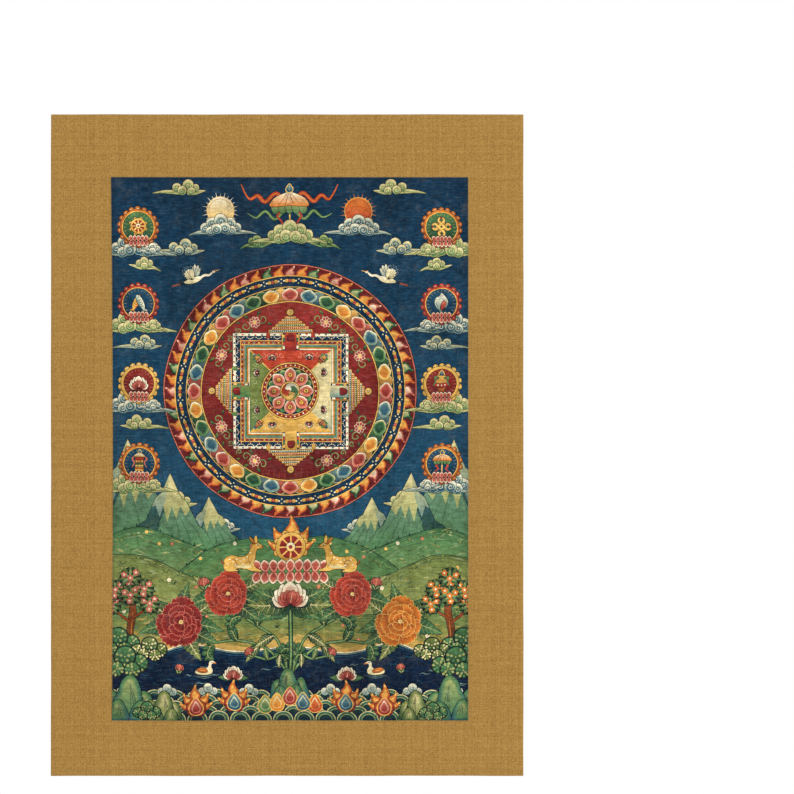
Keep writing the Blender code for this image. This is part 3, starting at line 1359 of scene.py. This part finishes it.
def wallOrnaments(side, outer):
    def spaced(count, margin):
        return [-outer + margin + i * (2 * outer - 2 * margin) / (count - 1) for i in range(count)]

    for i, x in enumerate(spaced(18, 3.5)):
        lay(side(box(x - 1.1, outer - 2.0, x + 1.1, outer - 0.5)), "red" if i % 2 else "sky")
    for x in spaced(12, 8.5):
        # pearls hung in swags under the eaves
        for dx, dy in ((-3.2, -3.8), (-1.8, -4.9), (0, -5.4), (1.8, -4.9), (3.2, -3.8)):
            dot(side, x + dx, outer + dy, 0.55, "shell")
        dot(side, x, outer - 6.7, 0.7, "orange")
    for i, x in enumerate(spaced(20, 12)):
        lozenge = [(x - 1.5, outer - 9.8), (x, outer - 10.8), (x + 1.5, outer - 9.8), (x, outer - 8.8)]
        lay(side(lozenge), "gold" if i % 2 else "mist")


def palaceFloor(side, inner, tones):
    # one coloured quarter of the floor, with its scrolls and lotuses
    lay(side([(0, 0), (-inner, inner), (inner, inner)]), *tones, [(0, 0), (0, inner)])
    for across in (-26, -13, 13, 26):
        for hand in (-1, 1):
            scroll = curl(across + 3.4 * hand, inner - 6.0, 3.2, 1.1, 90, hand, 8)
            line(side(scroll), mixed(tones[1], "shell", 0.5), 0.55, (1, 0.4))
    for across in (-20, 20):
        lotus(at(across, inner - 9.5, 0.24, on=side))


def palaceWalls(put):
    outer, inner, tones = mandala["palace"], mandala["floor"], mandala["gateTones"]
    for inside, tone in wallBands + [(outer - inner - 0.4, "ink")]:
        half = outer - inside
        lay(put(box(-half, -half, half, half)), tone)
    quarters = [at(0, 0, 1, 90 * quarter, on=put) for quarter in range(4)]
    for side, sideTones in zip(quarters, tones):
        wallOrnaments(side, outer)
        palaceFloor(side, inner, sideTones)
    for quarter in range(4):
        corner = at(0, 0, 1, 90 * quarter + 45, on=put)
        reach = inner * 1.41
        lay(corner(box(-0.5, 0, 0.5, reach)), "gold")
        vase(at(0, reach - 13, 0.42, on=corner))
    for side, sideTones in zip(quarters, tones):
        gate(at(0, outer, on=side), sideTones)


def turningColours(put, radius):
    # four colours that turn about each other
    shares = (0, 0.15, 0.3, 0.45, 0.6, 0.75, 0.9, 1)
    for i, tone in enumerate(("shell", "red", "gold", "green")):
        sweep = [(radius * t, math.radians(90 * i + 75 * math.sin(math.pi * t))) for t in shares]
        there = [(r * math.cos(a), r * math.sin(a)) for r, a in sweep]
        rim = arc(0, 0, radius, 90 * i, 90 * i + 90, 8)
        back = [(r * math.cos(a + math.pi / 2), r * math.sin(a + math.pi / 2)) for r, a in reversed(sweep)]
        lay(put(there + rim[1:-1] + back[:-1]), tone, mixed(tone, "ink", 0.35))
        eye = math.radians(90 * i + 75)
        dot(put, 4.6 * math.cos(eye), 4.6 * math.sin(eye), 0.8, "ink")


def middleLotus(put):
    radius = mandala["middle"]
    rings(put, (radius + 0.6, "ink"), (radius, "gold"), (radius - 1.2, "ink"), (radius - 1.6, "crimson"))
    for i, spot in enumerate(around(put, 36, radius - 3.2)):
        dot(spot, 0, 0, 0.9, "shell" if i % 2 else "gold")
    rings(put, (radius - 4.8, "gold"))
    dot(put, 0, 0, radius - 5.4, "night", "pine")
    for start, size, tones in ((22.5, 0.82, leafGreen), (0, 0.86, lotusPink)):
        deep, body, pale = tones
        for i, spot in enumerate(around(put, 8, 8.4, start=start, size=size)):
            placed = shape(spot, roundPetal, body, pale)
            lay(swell(placed, -1.5), body)
            lay(swell(placed, -2.9), deep, body)
            if tones == lotusPink:
                bead(spot, 0, 10.5, 2.7, "ochre", "gold", fine)
                dot(spot, 0, 10.5, 1.2, mandala["ringTones"][i % 4][0])
    bead(put, 0, 0, 10.4, "ochre", "gold")
    dot(put, 0, 0, 9.2, "ink")
    turningColours(put, 8.9)


def paintMandala():
    put = at(mandala["x"], mandala["y"])
    outer = mandala["radius"]
    # how far in from the rim each ring begins and ends
    for paintRing, start, end in ((flameRing, 0, 12.5), (sceptreRing, 12.5, 24.5), (petalRing, 25.5, 41.5)):
        paintRing(put, outer - start, outer - end)
    inside = outer - 42.0
    dot(put, 0, 0, inside, "blood", "crimson")
    for i, spot in enumerate(around(put, mandala["rays"], inside - 0.6)):
        line(spot([(0, 0), (0, -9 if i % 2 else -14)]), "rust", 0.5, thinTip)
    for quarter in range(4):
        for flip in (-1, 1):
            side = at(0, 0, 1, 90 * quarter, flip, put)
            bloomCorner(at(38.5, mandala["palace"] + 12.5, 1, -14, on=side))
    palaceWalls(put)
    middleLotus(put)


# The sky, with each thing in it painted to the left and to the right

sky = {
    "lights": [(-1, "gold", "shell"), (1, "red", "orange")],  # moon and sun: side, tone and glow
    "lightPlace": (74, 256),
    "lightRadius": 14.5,
    "scarves": [
        # places down its length, two tones and width
        ([(4, 262), (14, 275), (26, 266), (34, 273), (43, 269), (52, 285)], "red", "orange", 4.2),
        ([(6, 256), (16, 247), (26, 256), (36, 249), (46, 254)], "green", "sage", 3.2),
    ],
    "clouds": [
        # across, up, size, the way it faces, plan and tones
        (112, 280, 0.80, 1, "drift", greenCloud),
        (36, 222, 0.70, 1, "knot", leafGreen),
        (116, 216, 0.85, 1, "drift", blueCloud),
        (157, 198, 0.70, -1, "knot", greenCloud),
        (160, 113, 0.75, 1, "drift", blueCloud),
        (163, 27, 0.75, -1, "drift", greenCloud),
        (124, -56, 0.85, 1, "drift", greenCloud),
        (74, -84, 0.70, 1, "drift", whiteCloud),
    ],
}


def paintSky():
    wide, tall = painting["width"] / 2, painting["height"] / 2
    lay(box(-wide, -tall, wide, tall), "sky", "night", [(0, -90), (0, tall)])
    across, up = sky["lightPlace"]
    radius = sky["lightRadius"]
    for side, tone, pale in sky["lights"]:
        put = at(side * across, up)
        for i, spot in enumerate(around(put, 24, radius + 0.9)):
            line(spot([(0, -1), (0, 4.5 if i % 2 else 2.5)]), pale, 0.8, thinTip)
        shape(put, disc(0, 0, radius), tone, pale, edge="gold")
        line(put(arc(0, 0, 12.4, 20, 340, 24)), mixed(tone, "rust", 0.5), 0.5)
        cloud(at(side * across, up - 18, 0.8, 0, side), "bank", whiteCloud)
        crane(at(side * 104, 182, 0.95, side * -8, -side))
    for side in (-1, 1):
        for x, y, size, facing, plan, tones in sky["clouds"]:
            cloud(at(side * x, y, size, 0, side * facing), plan, tones)
    for side in (-1, 1):
        for bends, tone, pale, width in sky["scarves"]:
            scarf = smooth([(side * x, y) for x, y in bends], 5, False)
            lines(scarf, ("ink", width + 1.0), (tone, width), (pale, width * 0.3), thin=thinTip)
    parasol(at(0, 256, 1.65))
    cloud(at(0, 230, 0.9), "bank", greenCloud)


emblemRows = [
    # height, left emblem, right emblem, tones of the field and of the rim
    (238, wheel, endlessKnot, ("pine", "green"), ("rust", "orange")),
    (156, twoFish, conch, ("night", "sky"), ("crimson", "red")),
    (70, littleLotus, vase, ("blood", "crimson"), ("ochre", "gold")),
    (-16, banner, parasol, ("night", "sky"), ("rust", "orange")),
]


def paintEmblems():
    for row, (y, left, right, field, rim) in enumerate(emblemRows):
        for side, emblem in ((-1, left), (1, right)):
            x = side * 163
            tones = greenCloud if (row + (side > 0)) % 2 else whiteCloud
            cloud(at(x + side * 4, y - 22, 0.95, 0, side), "bank", tones)
            roundel(at(x, y), emblem, field, rim)
            cloud(at(x - side * 15, y - 24, 0.62, 0, -side), "knot", tones)


# The land, the lake and what grows there

peaks = [(88, 84, 62), (176, 140, 124), (130, 104, 88)]  # across, width and height, on both sides

hills = [
    # foot, low tone, high tone and crest, the farthest hill first
    (-200, "sage", "green", [(-192, -92), (-162, -84), (-128, -94), (-96, -108), (-62, -122)]),
    (-200, "sage", "green", [(62, -122), (96, -106), (128, -93), (162, -85), (192, -94)]),
    (-220, "moss", "green", [(-130, -140), (-88, -108), (-42, -96), (0, -99), (42, -94), (88, -110),
                             (130, -140)]),
    (-240, "sage", "moss", [(-192, -114), (-156, -116), (-118, -132), (-76, -152), (-34, -184)]),
    (-240, "sage", "moss", [(34, -184), (76, -150), (118, -130), (156, -114), (192, -118)]),
    (-240, "ochre", "green", [(-192, -166), (-150, -162), (-90, -176), (0, -172), (90, -178), (150, -160),
                              (192, -168)]),
]

meadow = {
    "flowers": ("rose", "shell", "gold"),
    "tufts": 70,
    "firRows": 3,  # how many hills, from the farthest, carry firs
}


def paintHills():
    for side in (-1, 1):
        for x, width, height in peaks:
            snowPeak(at(side * x, -114, 1, 0, side), width, height)
    for row, (foot, low, high, crest) in enumerate(hills):
        if row < meadow["firRows"]:
            firRow(crest)
        hill(foot, crest, low, high)
        for x, y in smooth(crest, 5, False)[2:-2:2]:
            drop = random.uniform(3, 13)
            if random.random() < 0.6:
                tuft(at(x, y - drop, random.uniform(0.8, 1.2)))
            else:
                floret(at(x, y - drop), random.choice(meadow["flowers"]))
    for i in range(meadow["tufts"]):
        x = random.uniform(-188, 188)
        y = random.uniform(-210, -140)
        tones = ("pine", "moss") if i % 4 else ("ink", "pine")
        tuft(at(x, y, random.uniform(0.9, 1.3)), *tones)
        if i % 3 == 0:
            floret(at(x + 4, y + 3, 1.2), meadow["flowers"][i % 9 // 3])


lake = {
    "shore": [(-192, -212), (-150, -220), (-110, -210), (-60, -218), (0, -213), (60, -219), (110, -209),
              (150, -221), (192, -213)],
    "foot": -292,
    "sandTones": ("ochre", "earth", "cream", "rust"),
    "pebbles": 90,
    "ripples": 70,
    "shoreLines": [(0, "shell", 1.0), (1.6, "mist", 0.9), (4.0, "sky", 0.8), (7.0, "night", 0.8)],
}


def paintLake():
    left, right = lake["shore"][0][0], lake["shore"][-1][0]
    shore = smooth(lake["shore"], 6, False)
    sand = [(x, y + 9 + 4 * math.sin(x * 0.055 + 1) + 1.2 * math.sin(x * 0.31)) for x, y in shore]
    sandTones = (mixed("ochre", "cream", 0.25), mixed("ochre", "sage", 0.5))
    lay([(left, -230)] + sand + [(right, -230)], *sandTones, [(0, -214), (0, -200)])
    for i in range(lake["pebbles"]):
        x, y = random.uniform(-186, 184), random.uniform(-212, -200)
        tone = random.choice(lake["sandTones"])
        line([(x, y), (x + 3, y + 0.4), (x + 7, y)], mixed("ochre", tone, 0.4), 0.8, thinEnds)
    water = [(left, lake["foot"])] + shore + [(right, lake["foot"])]
    lay(water, "lake", mixed("lake", "night", 0.6), [(0, -270), (0, -210)])
    for drop, tone, width in lake["shoreLines"]:
        line([(x, y - drop) for x, y in shore], tone, width)
    for i in range(lake["ripples"]):
        x, y = random.uniform(-182, 182), random.uniform(-264, -222)
        reach = random.uniform(6, 15)
        ripple = [(x, y), (x + reach * 0.3, y + 1.2), (x + reach * 0.6, y), (x + reach, y + 0.9)]
        line(smooth(ripple, 3, False), "sky" if i % 3 else "mist", 0.7, thinEnds)


garden = {
    # stems go from the rocks in the water, to the right and mirrored to the left: their places, and leaf size
    "flowerStems": [
        ([(3, -240), (26, -214), (58, -206), (90, -208), (116, -188)], 0.66),
        ([(3, -240), (14, -206), (36, -190), (56, -176), (66, -158)], 0.66),
    ],
    "budStem": [(3, -240), (8, -222), (24, -226), (40, -222)],
    "greatStem": [(0, -250), (0.6, -220), (0, -190), (0, -164)],
    "peonyLeaves": [
        # across and up of the flower, and the turn of each leaf behind it
        (67, -156, (74, 104, 136, -70, -100, 8)),
        (118, -186, (64, 96, 128, -64, -98, 4, 160)),
    ],
    # turn, size and tones
    "lotusLeaves": [(126, 1.2, leafGreen), (100, 1.5, mossGreen), (76, 1.3, darkGreen)],
}


def peonyLeaves(side, x, y, turns):
    for i, turn in enumerate(turns):
        heading = math.radians(side * turn)
        base = (side * x - 10 * math.sin(heading), y + 10 * math.cos(heading))
        size = 1.2 if abs(turn) > 90 else 1.05
        tones = (mossGreen, leafGreen, darkGreen)[i % 3]
        toothedLeaf(at(*base, size, side * turn), tones, side * (5 - 10 * (i % 2)))


def paintGarden():
    # peonies and a great lotus rise on leafy stems from the rocks in the water
    for side in (-1, 1):
        def mirrored(points):
            return [(side * x, y) for x, y in points]

        for stem, size in garden["flowerStems"]:
            leafyStem(mirrored(stem), side, size)
        for x, y, turns in garden["peonyLeaves"]:
            peonyLeaves(side, x, y, turns)
        peony(at(side * 67, -156, 0.95), "blood", "red", "rose")
        leafyStem(mirrored(garden["budStem"]), side, 0.4)
        bud(at(side * 41, -222, 0.6, side * -40))
        bud(at(side * 92, -150, 0.72, side * -10))
    peony(at(-118, -186, 1.05), "blood", "crimson", "rose")
    peony(at(118, -186, 1.05), "rust", "orange", "gold")
    lines(garden["greatStem"], ("ink", 5.0), ("pine", 4.0), ("green", 2.2), ("sage", 0.6))
    for turn, size, tones in garden["lotusLeaves"]:
        for side in (-1, 1):
            toothedLeaf(at(0, -166, size, side * turn), tones, side * 4)
    flames(at(0, -112, 1.5))
    wheel(at(0, -106, 1.5))
    lotusSeat(at(0, -132, 1.25), 9, 62)
    lotus(at(0, -166, 1.1))
    for side in (-1, 1):
        deer(at(side * 54, -122, 0.95, 0, -side))


nearShore = {
    "treeBlossoms": {-1: ("rose", "shell"), 1: ("orange", "shell")},  # to the left and to the right
    # across, up, size and tones, the farthest first
    "bushes": [(186, -214, 1.1, leafGreen), (152, -220, 0.9, mossGreen), (178, -236, 1.2, leafGreen)],
    "rocks": [(176, -290, 1.45, blueGreen), (138, -292, 1.0, mossGreen)],
    "flamingJewels": [(60, -274, "sky", "mist"), (101, -279, "crimson", "rose")],
    "jewels": [
        # across, up, tone and glow
        (-27, -276, "green", "sage"),
        (27, -276, "red", "orange"),
        (-14, -274, "orange", "gold"),
        (14, -274, "sky", "mist"),
        (0, -268, "crimson", "rose"),
    ],
}


def paintShore():
    waves()
    for i in range(9):
        foam(at(-176 + i * 44, -261, 0.9, 0, 1 if i % 2 else -1))
    rock(at(0, -268, 1.0), blueGreen)
    for side in (-1, 1):
        tree(at(side * 172, -222, 1.15, 0, side), nearShore["treeBlossoms"][side])
        for x, y, size, tones in nearShore["bushes"]:
            bush(at(side * x, y, size), tones)
        for x, y, size, tones in nearShore["rocks"]:
            rock(at(side * x, y, size, 0, side), tones)
        bush(at(side * 154, -286, 0.7), leafGreen)
        duck(at(side * 92, -240, 1.1, 0, -side))
        for turn in (90, -90):
            leaf(at(side * (61 - turn / 90), -246, 0.7, turn))
        lotus(at(side * 61, -246, 0.6))
        bud(at(side * 120, -240, 0.55, side * 12))
    for side in (-1, 1):
        for x, y, tone, glow in nearShore["flamingJewels"]:
            flames(at(side * x, y - 3, 1.08, 0, side))
            jewel(at(side * x, y, 1.2), tone, glow)
    for x, y, tone, glow in nearShore["jewels"]:
        jewel(at(x, y, 1.25), tone, glow)


def paintPicture():
    for paintPart in (paintSky, paintHills, paintMandala, paintEmblems, paintLake, paintGarden, paintShore):
        paintPart()
        print("painted so far:", len(shapes), "shapes")


# The pile of shapes becomes one mesh: each triangle takes the tone of the topmost shape over it

cutting = {
    "tolerance": 0.06,  # how far a curve may be straightened
    "closeness": 0.0001,
}

outlines = []  # each shape's outline, as the hand drew it


def shaken(x, y):
    # the hand that drew it wandered a little
    far, near = painting["handShake"], painting["handShake"] * 0.35
    slowX, fastX = math.sin(y * 0.061 + 1.1 + 0.4 * math.sin(x * 0.05)), math.sin(y * 0.43 + x * 0.29)
    slowY, fastY = math.sin(x * 0.067 + 0.4 + 0.4 * math.sin(y * 0.047)), math.sin(x * 0.39 - y * 0.31 + 2.0)
    return x + far * slowX + near * fastX, y + far * slowY + near * fastY


def middlesOf(points, triangles):
    places = np.array([(p.x, p.y) for p in points])
    return places[np.array(triangles)].mean(axis=1)


def topShapes(middles):
    # which shape lies uppermost over each of these points, by how often its outline winds round them
    order = np.argsort(middles[:, 0])
    across, up = middles[order, 0], middles[order, 1]
    top = np.full(len(order), -1)
    for i in range(len(outlines) - 1, -1, -1):
        outline = outlines[i]
        low, high = outline.min(axis=0), outline.max(axis=0)
        first, last = np.searchsorted(across, (low[0], high[0]))
        column = up[first:last]
        near = first + np.flatnonzero((top[first:last] < 0) & (column > low[1]) & (column < high[1]))
        if len(near) == 0:
            continue
        x, y = across[near, None], up[near, None]
        (ax, ay), (bx, by) = outline.T, np.roll(outline, -1, axis=0).T
        side = (bx - ax) * (y - ay) - (x - ax) * (by - ay)
        rising, falling = (ay <= y) & (by > y) & (side > 0), (ay > y) & (by <= y) & (side < 0)
        top[near[rising.sum(axis=1) != falling.sum(axis=1)]] = i
    found = np.empty(len(order), dtype=int)
    found[order] = top
    return found


def pileTriangles():
    corners, edges = [], []
    for outline in outlines:
        start, count = len(corners), len(outline)
        corners += [Vector(p) for p in outline]
        edges += [(start + i, start + (i + 1) % count) for i in range(count)]
    made = delaunay_2d_cdt(corners, edges, [], 0, cutting["closeness"])
    points, triangles = made[0], made[2]
    middles = middlesOf(points, triangles)
    onPanel = (abs(middles) < (painting["width"] / 2, painting["height"] / 2)).all(axis=1)
    kept = [(tuple(face), top) for face, top, on in zip(triangles, topShapes(middles), onPanel) if on]
    return points, [face for face, top in kept], [top for face, top in kept]


def seenEdges(triangles, tops):
    # the edges where one shape stops and another shows, as each point's neighbours
    sides = {}
    for face, top in zip(triangles, tops):
        for a, b in zip(face, face[1:] + face[:1]):
            sides.setdefault((min(a, b), max(a, b)), []).append(top)
    beside = {}
    for (a, b), both in sides.items():
        if len(both) == 1 or both[0] != both[1]:
            beside.setdefault(a, []).append(b)
            beside.setdefault(b, []).append(a)
    return beside


def straightened(points, chain):
    # keeps only the points of a chain that bend it
    kept = [0]
    pile = [(0, len(chain) - 1)]
    while pile:
        first, last = pile.pop()
        start = points[chain[first]]
        reach = points[chain[last]] - start
        long = reach.length
        worst, where = cutting["tolerance"], None
        for i in range(first + 1, last):
            off = points[chain[i]] - start
            away = abs(reach.x * off.y - reach.y * off.x) / long if long > 1e-9 else off.length
            if away > worst:
                worst, where = away, i
        if where is None:
            kept.append(last)
        else:
            pile += [(where, last), (first, where)]
    return [chain[i] for i in kept]


def seenChains(points, beside):
    def inCorner(point):
        return sideOf(point.x, painting["width"]) and sideOf(point.y, painting["height"])

    ends = {i for i, near in beside.items() if len(near) != 2 or inCorner(points[i])}
    walked, edges = set(), []
    for start in sorted(ends) + sorted(beside):  # the closed loops come last
        for step in beside[start]:
            if (start, step) in walked:
                continue
            chain = [start, step]
            while chain[-1] not in ends and chain[-1] != start:
                near = beside[chain[-1]]
                chain.append(near[1] if near[0] == chain[-2] else near[0])
            for a, b in zip(chain, chain[1:]):
                walked |= {(a, b), (b, a)}
            middle = len(chain) // 2 if chain[0] == chain[-1] else 0
            kept = straightened(points, chain[:middle + 1])[:-1] + straightened(points, chain[middle:])
            edges += list(zip(kept, kept[1:]))
    return edges


def cutPainting():
    points, triangles, tops = pileTriangles()
    print("painting:", len(shapes), "shapes,", len(triangles), "triangles with the hidden ones")
    edges = seenChains(points, seenEdges(triangles, tops))
    used = sorted({i for edge in edges for i in edge})
    index = {old: new for new, old in enumerate(used)}
    corners = [points[i] for i in used]
    corners += washPoints(painting["width"], painting["height"], painting["washStep"])
    kept = [(index[a], index[b]) for a, b in edges]
    made = delaunay_2d_cdt(corners, kept, [], 0, cutting["closeness"])
    points, triangles = made[0], made[2]
    print("painting:", len(triangles), "triangles that show")
    owners = topShapes(middlesOf(points, triangles))
    return [(p.x, p.y) for p in points], [tuple(face) for face in triangles], owners


def linear(value):
    # from a pigment's 0 to 255, as a screen has it, to light
    value /= 255.0
    return value / 12.92 if value <= 0.04045 else ((value + 0.055) / 1.055) ** 2.4


def toneAt(owner, x, y):
    tone, toTone, span = shapes[owner][1:]
    if span is None or tone == toTone:
        share = 0.0
    else:
        (ax, ay), (bx, by) = span
        long = (bx - ax) ** 2 + (by - ay) ** 2
        share = min(1.0, max(0.0, ((x - ax) * (bx - ax) + (y - ay) * (by - ay)) / max(long, 1e-9)))
    return tuple(linear(a + (b - a) * share) for a, b in zip(tone, toTone)) + (1.0,)


# The painted panel: primed cotton under mineral paint, rubbed, smoked and finely cracked from rolling

panelCloth = {
    "thick": 1.0,
    "edgeRound": 0.3,
    "backStep": 12.0,
    "gap": 0.00008,  # metres between the panel's back and the mount cloth
    "leftBow": 1.5,  # how far the left edge is drawn in halfway up, and at its head
    "leftHead": -0.85,
    "rightOut": 0.4,
    "warpWidth": 0.00074,
    "weftWidth": 0.00070,
    "threadBend": (0.0016, 0.04),  # how far threads bend, and over what distance
    "ground": (0.45, 0.41, 0.30, 1.0),
    "smoke": (0.016, 0.014, 0.010, 1.0),
    "wornTone": (0.020, 0.040, 0.046),
    "edgeTone": (190, 170, 128),
    "depth": 1.06,  # how strongly the paint is laid on
    "noises": {
        # how far each one lightens or darkens the pigment, its size, detail, stretch each way and roughness
        "wash": (1.45, 0.045, 5.0, (1, 1, 1), 0.6),
        "mottle": (1.2, 0.0085, 5.0, (1, 1, 1), 0.65),
        "blotch": (0.75, 0.0042, 3.0, (1.3, 1.0, 0.9), 0.6),
        "streak": (0.85, 0.0022, 3.0, (4.5, 1.0, 0.8), 0.6),
        "grain": (0.80, 0.0014, 3.0, (1, 1, 1), 0.6),
    },
    "threadShare": 0.22,
    # the next two: how much the gaps between threads are painted darker as shade and their tops lighter as
    # light, and the thread height where it turns
    "gapShadeShare": 0.24,
    "gapShadeMiddle": 0.62,
    "marks": {
        # the stretch of its noise over which each mark comes up, then size, detail, stretch and roughness
        "upScratch": (0.60, 0.74, 0.0010, 2.0, (1, 1, 9)),
        "acrossScratch": (0.60, 0.74, 0.0010, 2.0, (9, 1, 1)),
        "rubbed": (0.54, 0.70, 0.022, 8.0, (1, 1, 1), 0.78),
        "speck": (0.58, 0.67, 0.0021, 3.0, (1, 1, 1), 0.7),
        "smoke": (0.45, 0.75, 0.12, 4.0),
    },
    "scratches": 0.065,  # how much ground shows through
    "rubbing": 0.08,
    "losses": 0.36,
    "smokeShare": 0.26,
    # stretches of the noises: where threads are worn, where dirt clings and where it has cracked
    "wornStreak": (0.46, 0.70),
    "wornBlotch": (0.36, 0.66),
    "dirtMottle": (0.25, 0.6),
    "crackWash": (0.48, 0.62, 0.0, 0.45),
    "crackWidth": (0.012, 0.05, 1.0, 0.0),
    "crackScale": (70.0, 1.0, 150.0),
    "crackDepth": -1.2,
    "edgeDirt": 0.42,
    "dirtReach": 0.0045,
    "roughness": (0.3, 0.7, 0.62, 0.84),  # over this stretch of the mottle, from one to the other
    "shine": 0.05,
    "relief": 0.00010,
    "reliefStrength": 0.8,
    "grainHeight": 0.6,
}


def panelMaterial(low, high):
    # low and high are the panel's two corners
    cloth = panelCloth
    material, tree, surface = newMaterial("painted_cotton")
    place, across, up = clothPlace(tree, *cloth["threadBend"])
    height, thread = plainWeave(tree, across, up, cloth["warpWidth"], cloth["weftWidth"])[:2]
    paint = makeNode(tree, "ShaderNodeVertexColor", layer_name="paint").outputs["Color"]

    # the pigment lies thicker and thinner, in washes, in brush streaks and over each thread, with painted
    # shade in the gaps between threads
    noises, parts = clothNoises(tree, place, cloth)
    threads = [(thread, 0.5, cloth["threadShare"]), (height, cloth["gapShadeMiddle"], cloth["gapShadeShare"])]
    depth = gathered(tree, cloth["depth"], parts + threads)
    tone = vectors(tree, "SCALE", {0: paint, "Scale": depth})

    # threads that stand up are worn paler, which shows most in the dark paint
    wornStreak = between(tree, noises["streak"], *cloth["wornStreak"])
    worn = calc(tree, "MULTIPLY", wornStreak, between(tree, noises["blotch"], *cloth["wornBlotch"]))
    paler = vectors(tree, "SCALE", {0: cloth["wornTone"], "Scale": worn})
    tone = vectors(tree, "ADD", {0: tone, 1: paler})

    # scratches and rubbed places let the ground show
    def mark(name, most=1.0):
        start, end, *noise = cloth["marks"][name]
        return between(tree, cloudNoise(tree, place, *noise), start, end, 0.0, most)

    scratched = calc(tree, "MAXIMUM", mark("upScratch"), mark("acrossScratch"))
    rubbed = mark("rubbed")
    lost = calc(tree, "MULTIPLY", mark("speck"), rubbed)
    bare = calc(tree, "MULTIPLY", scratched, cloth["scratches"])
    bare = calc(tree, "MULTIPLY_ADD", rubbed, cloth["rubbing"], bare)
    bare = calc(tree, "MULTIPLY_ADD", lost, cloth["losses"], bare)
    tone = mixColour(tree, bare, tone, cloth["ground"])

    # dirt lies along the four edges, smoke in soft patches, and cracks run where the panel was rolled
    apart = makeNode(tree, "ShaderNodeSeparateXYZ", {"Vector": place})
    inward = []
    for i in (0, 2):
        fromMiddle = calc(tree, "ABSOLUTE", calc(tree, "SUBTRACT", apart.outputs[i], (low[i] + high[i]) / 2))
        inward.append(calc(tree, "SUBTRACT", (high[i] - low[i]) / 2, fromMiddle))
    dirt = between(tree, calc(tree, "MINIMUM", *inward), 0.0, cloth["dirtReach"], cloth["edgeDirt"], 0.0)
    dirt = calc(tree, "MULTIPLY", dirt, between(tree, noises["mottle"], *cloth["dirtMottle"]))
    bent = makeNode(tree, "ShaderNodeMapping", {"Vector": place, "Scale": cloth["crackScale"]}).outputs[0]
    plates = makeNode(tree, "ShaderNodeTexVoronoi", {"Vector": bent, "Scale": 1}, feature="DISTANCE_TO_EDGE")
    crack = between(tree, plates.outputs["Distance"], *cloth["crackWidth"])
    crack = calc(tree, "MULTIPLY", crack, between(tree, noises["wash"], *cloth["crackWash"]))
    for share in (dirt, mark("smoke", cloth["smokeShare"]), crack):
        tone = mixColour(tree, share, tone, cloth["smoke"])
    tree.links.new(tone, surface.inputs["Base Color"])

    tree.links.new(between(tree, noises["mottle"], *cloth["roughness"]), surface.inputs["Roughness"])
    surface.inputs["Specular IOR Level"].default_value = cloth["shine"]
    relief = calc(tree, "MULTIPLY_ADD", noises["grain"], cloth["grainHeight"], height)
    raised = makeNode(tree, "ShaderNodeBump", {
        "Height": calc(tree, "MULTIPLY_ADD", crack, cloth["crackDepth"], relief),
        "Distance": cloth["relief"],
        "Strength": cloth["reliefStrength"],
    })
    tree.links.new(raised.outputs[0], surface.inputs["Normal"])
    return material


def drawnIn(x, y):
    # the panel is not quite square: its left edge bows inward, and its right edge is straight
    up = 0.5 + y / painting["height"]
    right = 0.5 + x / painting["width"]
    leftEdge = panelCloth["leftHead"] * up
    leftEdge += panelCloth["leftBow"] * math.sin(math.pi * min(1.0, max(0.0, up)))
    return leftEdge * (1 - right) + panelCloth["rightOut"] * right


def paintCorners(mesh, points, triangles, owners):
    # each corner of each painted triangle takes its tone there, and the worn edge and the back stay plain
    tones = []
    for triangle, owner in zip(triangles, owners):
        for i in triangle:
            tones += toneAt(owner, *points[i])
    plain = tuple(linear(value) for value in panelCloth["edgeTone"]) + (1.0,)
    tones += plain * (len(mesh.loops) - 3 * len(triangles))
    paint = mesh.color_attributes.new(name="paint", type="FLOAT_COLOR", domain="CORNER")
    paint.data.foreach_set("color", tones)


def buildPaintedPanel():
    low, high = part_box("painted_panel")
    paintPicture()
    for i, (points, *_) in enumerate(shapes):  # the first shape is the whole panel, which stays straight
        outlines.append(np.array([shaken(*p) if i else p for p in points]))
    points, triangles, owners = cutPainting()
    size = (painting["width"], painting["height"])
    middle = ((low[0] + high[0]) / 2, (low[2] + high[2]) / 2)
    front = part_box("mount_cloth")[0][1] - panelCloth["gap"] - panelCloth["thick"] / 1000
    sheet = closedSheet("painted_panel_sheet", (points, triangles), size, middle, front, panelCloth, drawnIn)
    paintCorners(sheet.data, points, triangles, owners)
    sheet.data.materials.append(panelMaterial(low, high))
    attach(sheet, "root")
    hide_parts("painted_panel")
    return sheet, (painting["width"] / 1000, painting["height"] / 1000)


print("camera, light and floor")
addCamera()
addLight()
addFloor()
print("mount cloth")
mountSheet, mountFlat = buildMountCloth()
print("painted panel")
panelSheet, panelFlat = buildPaintedPanel()
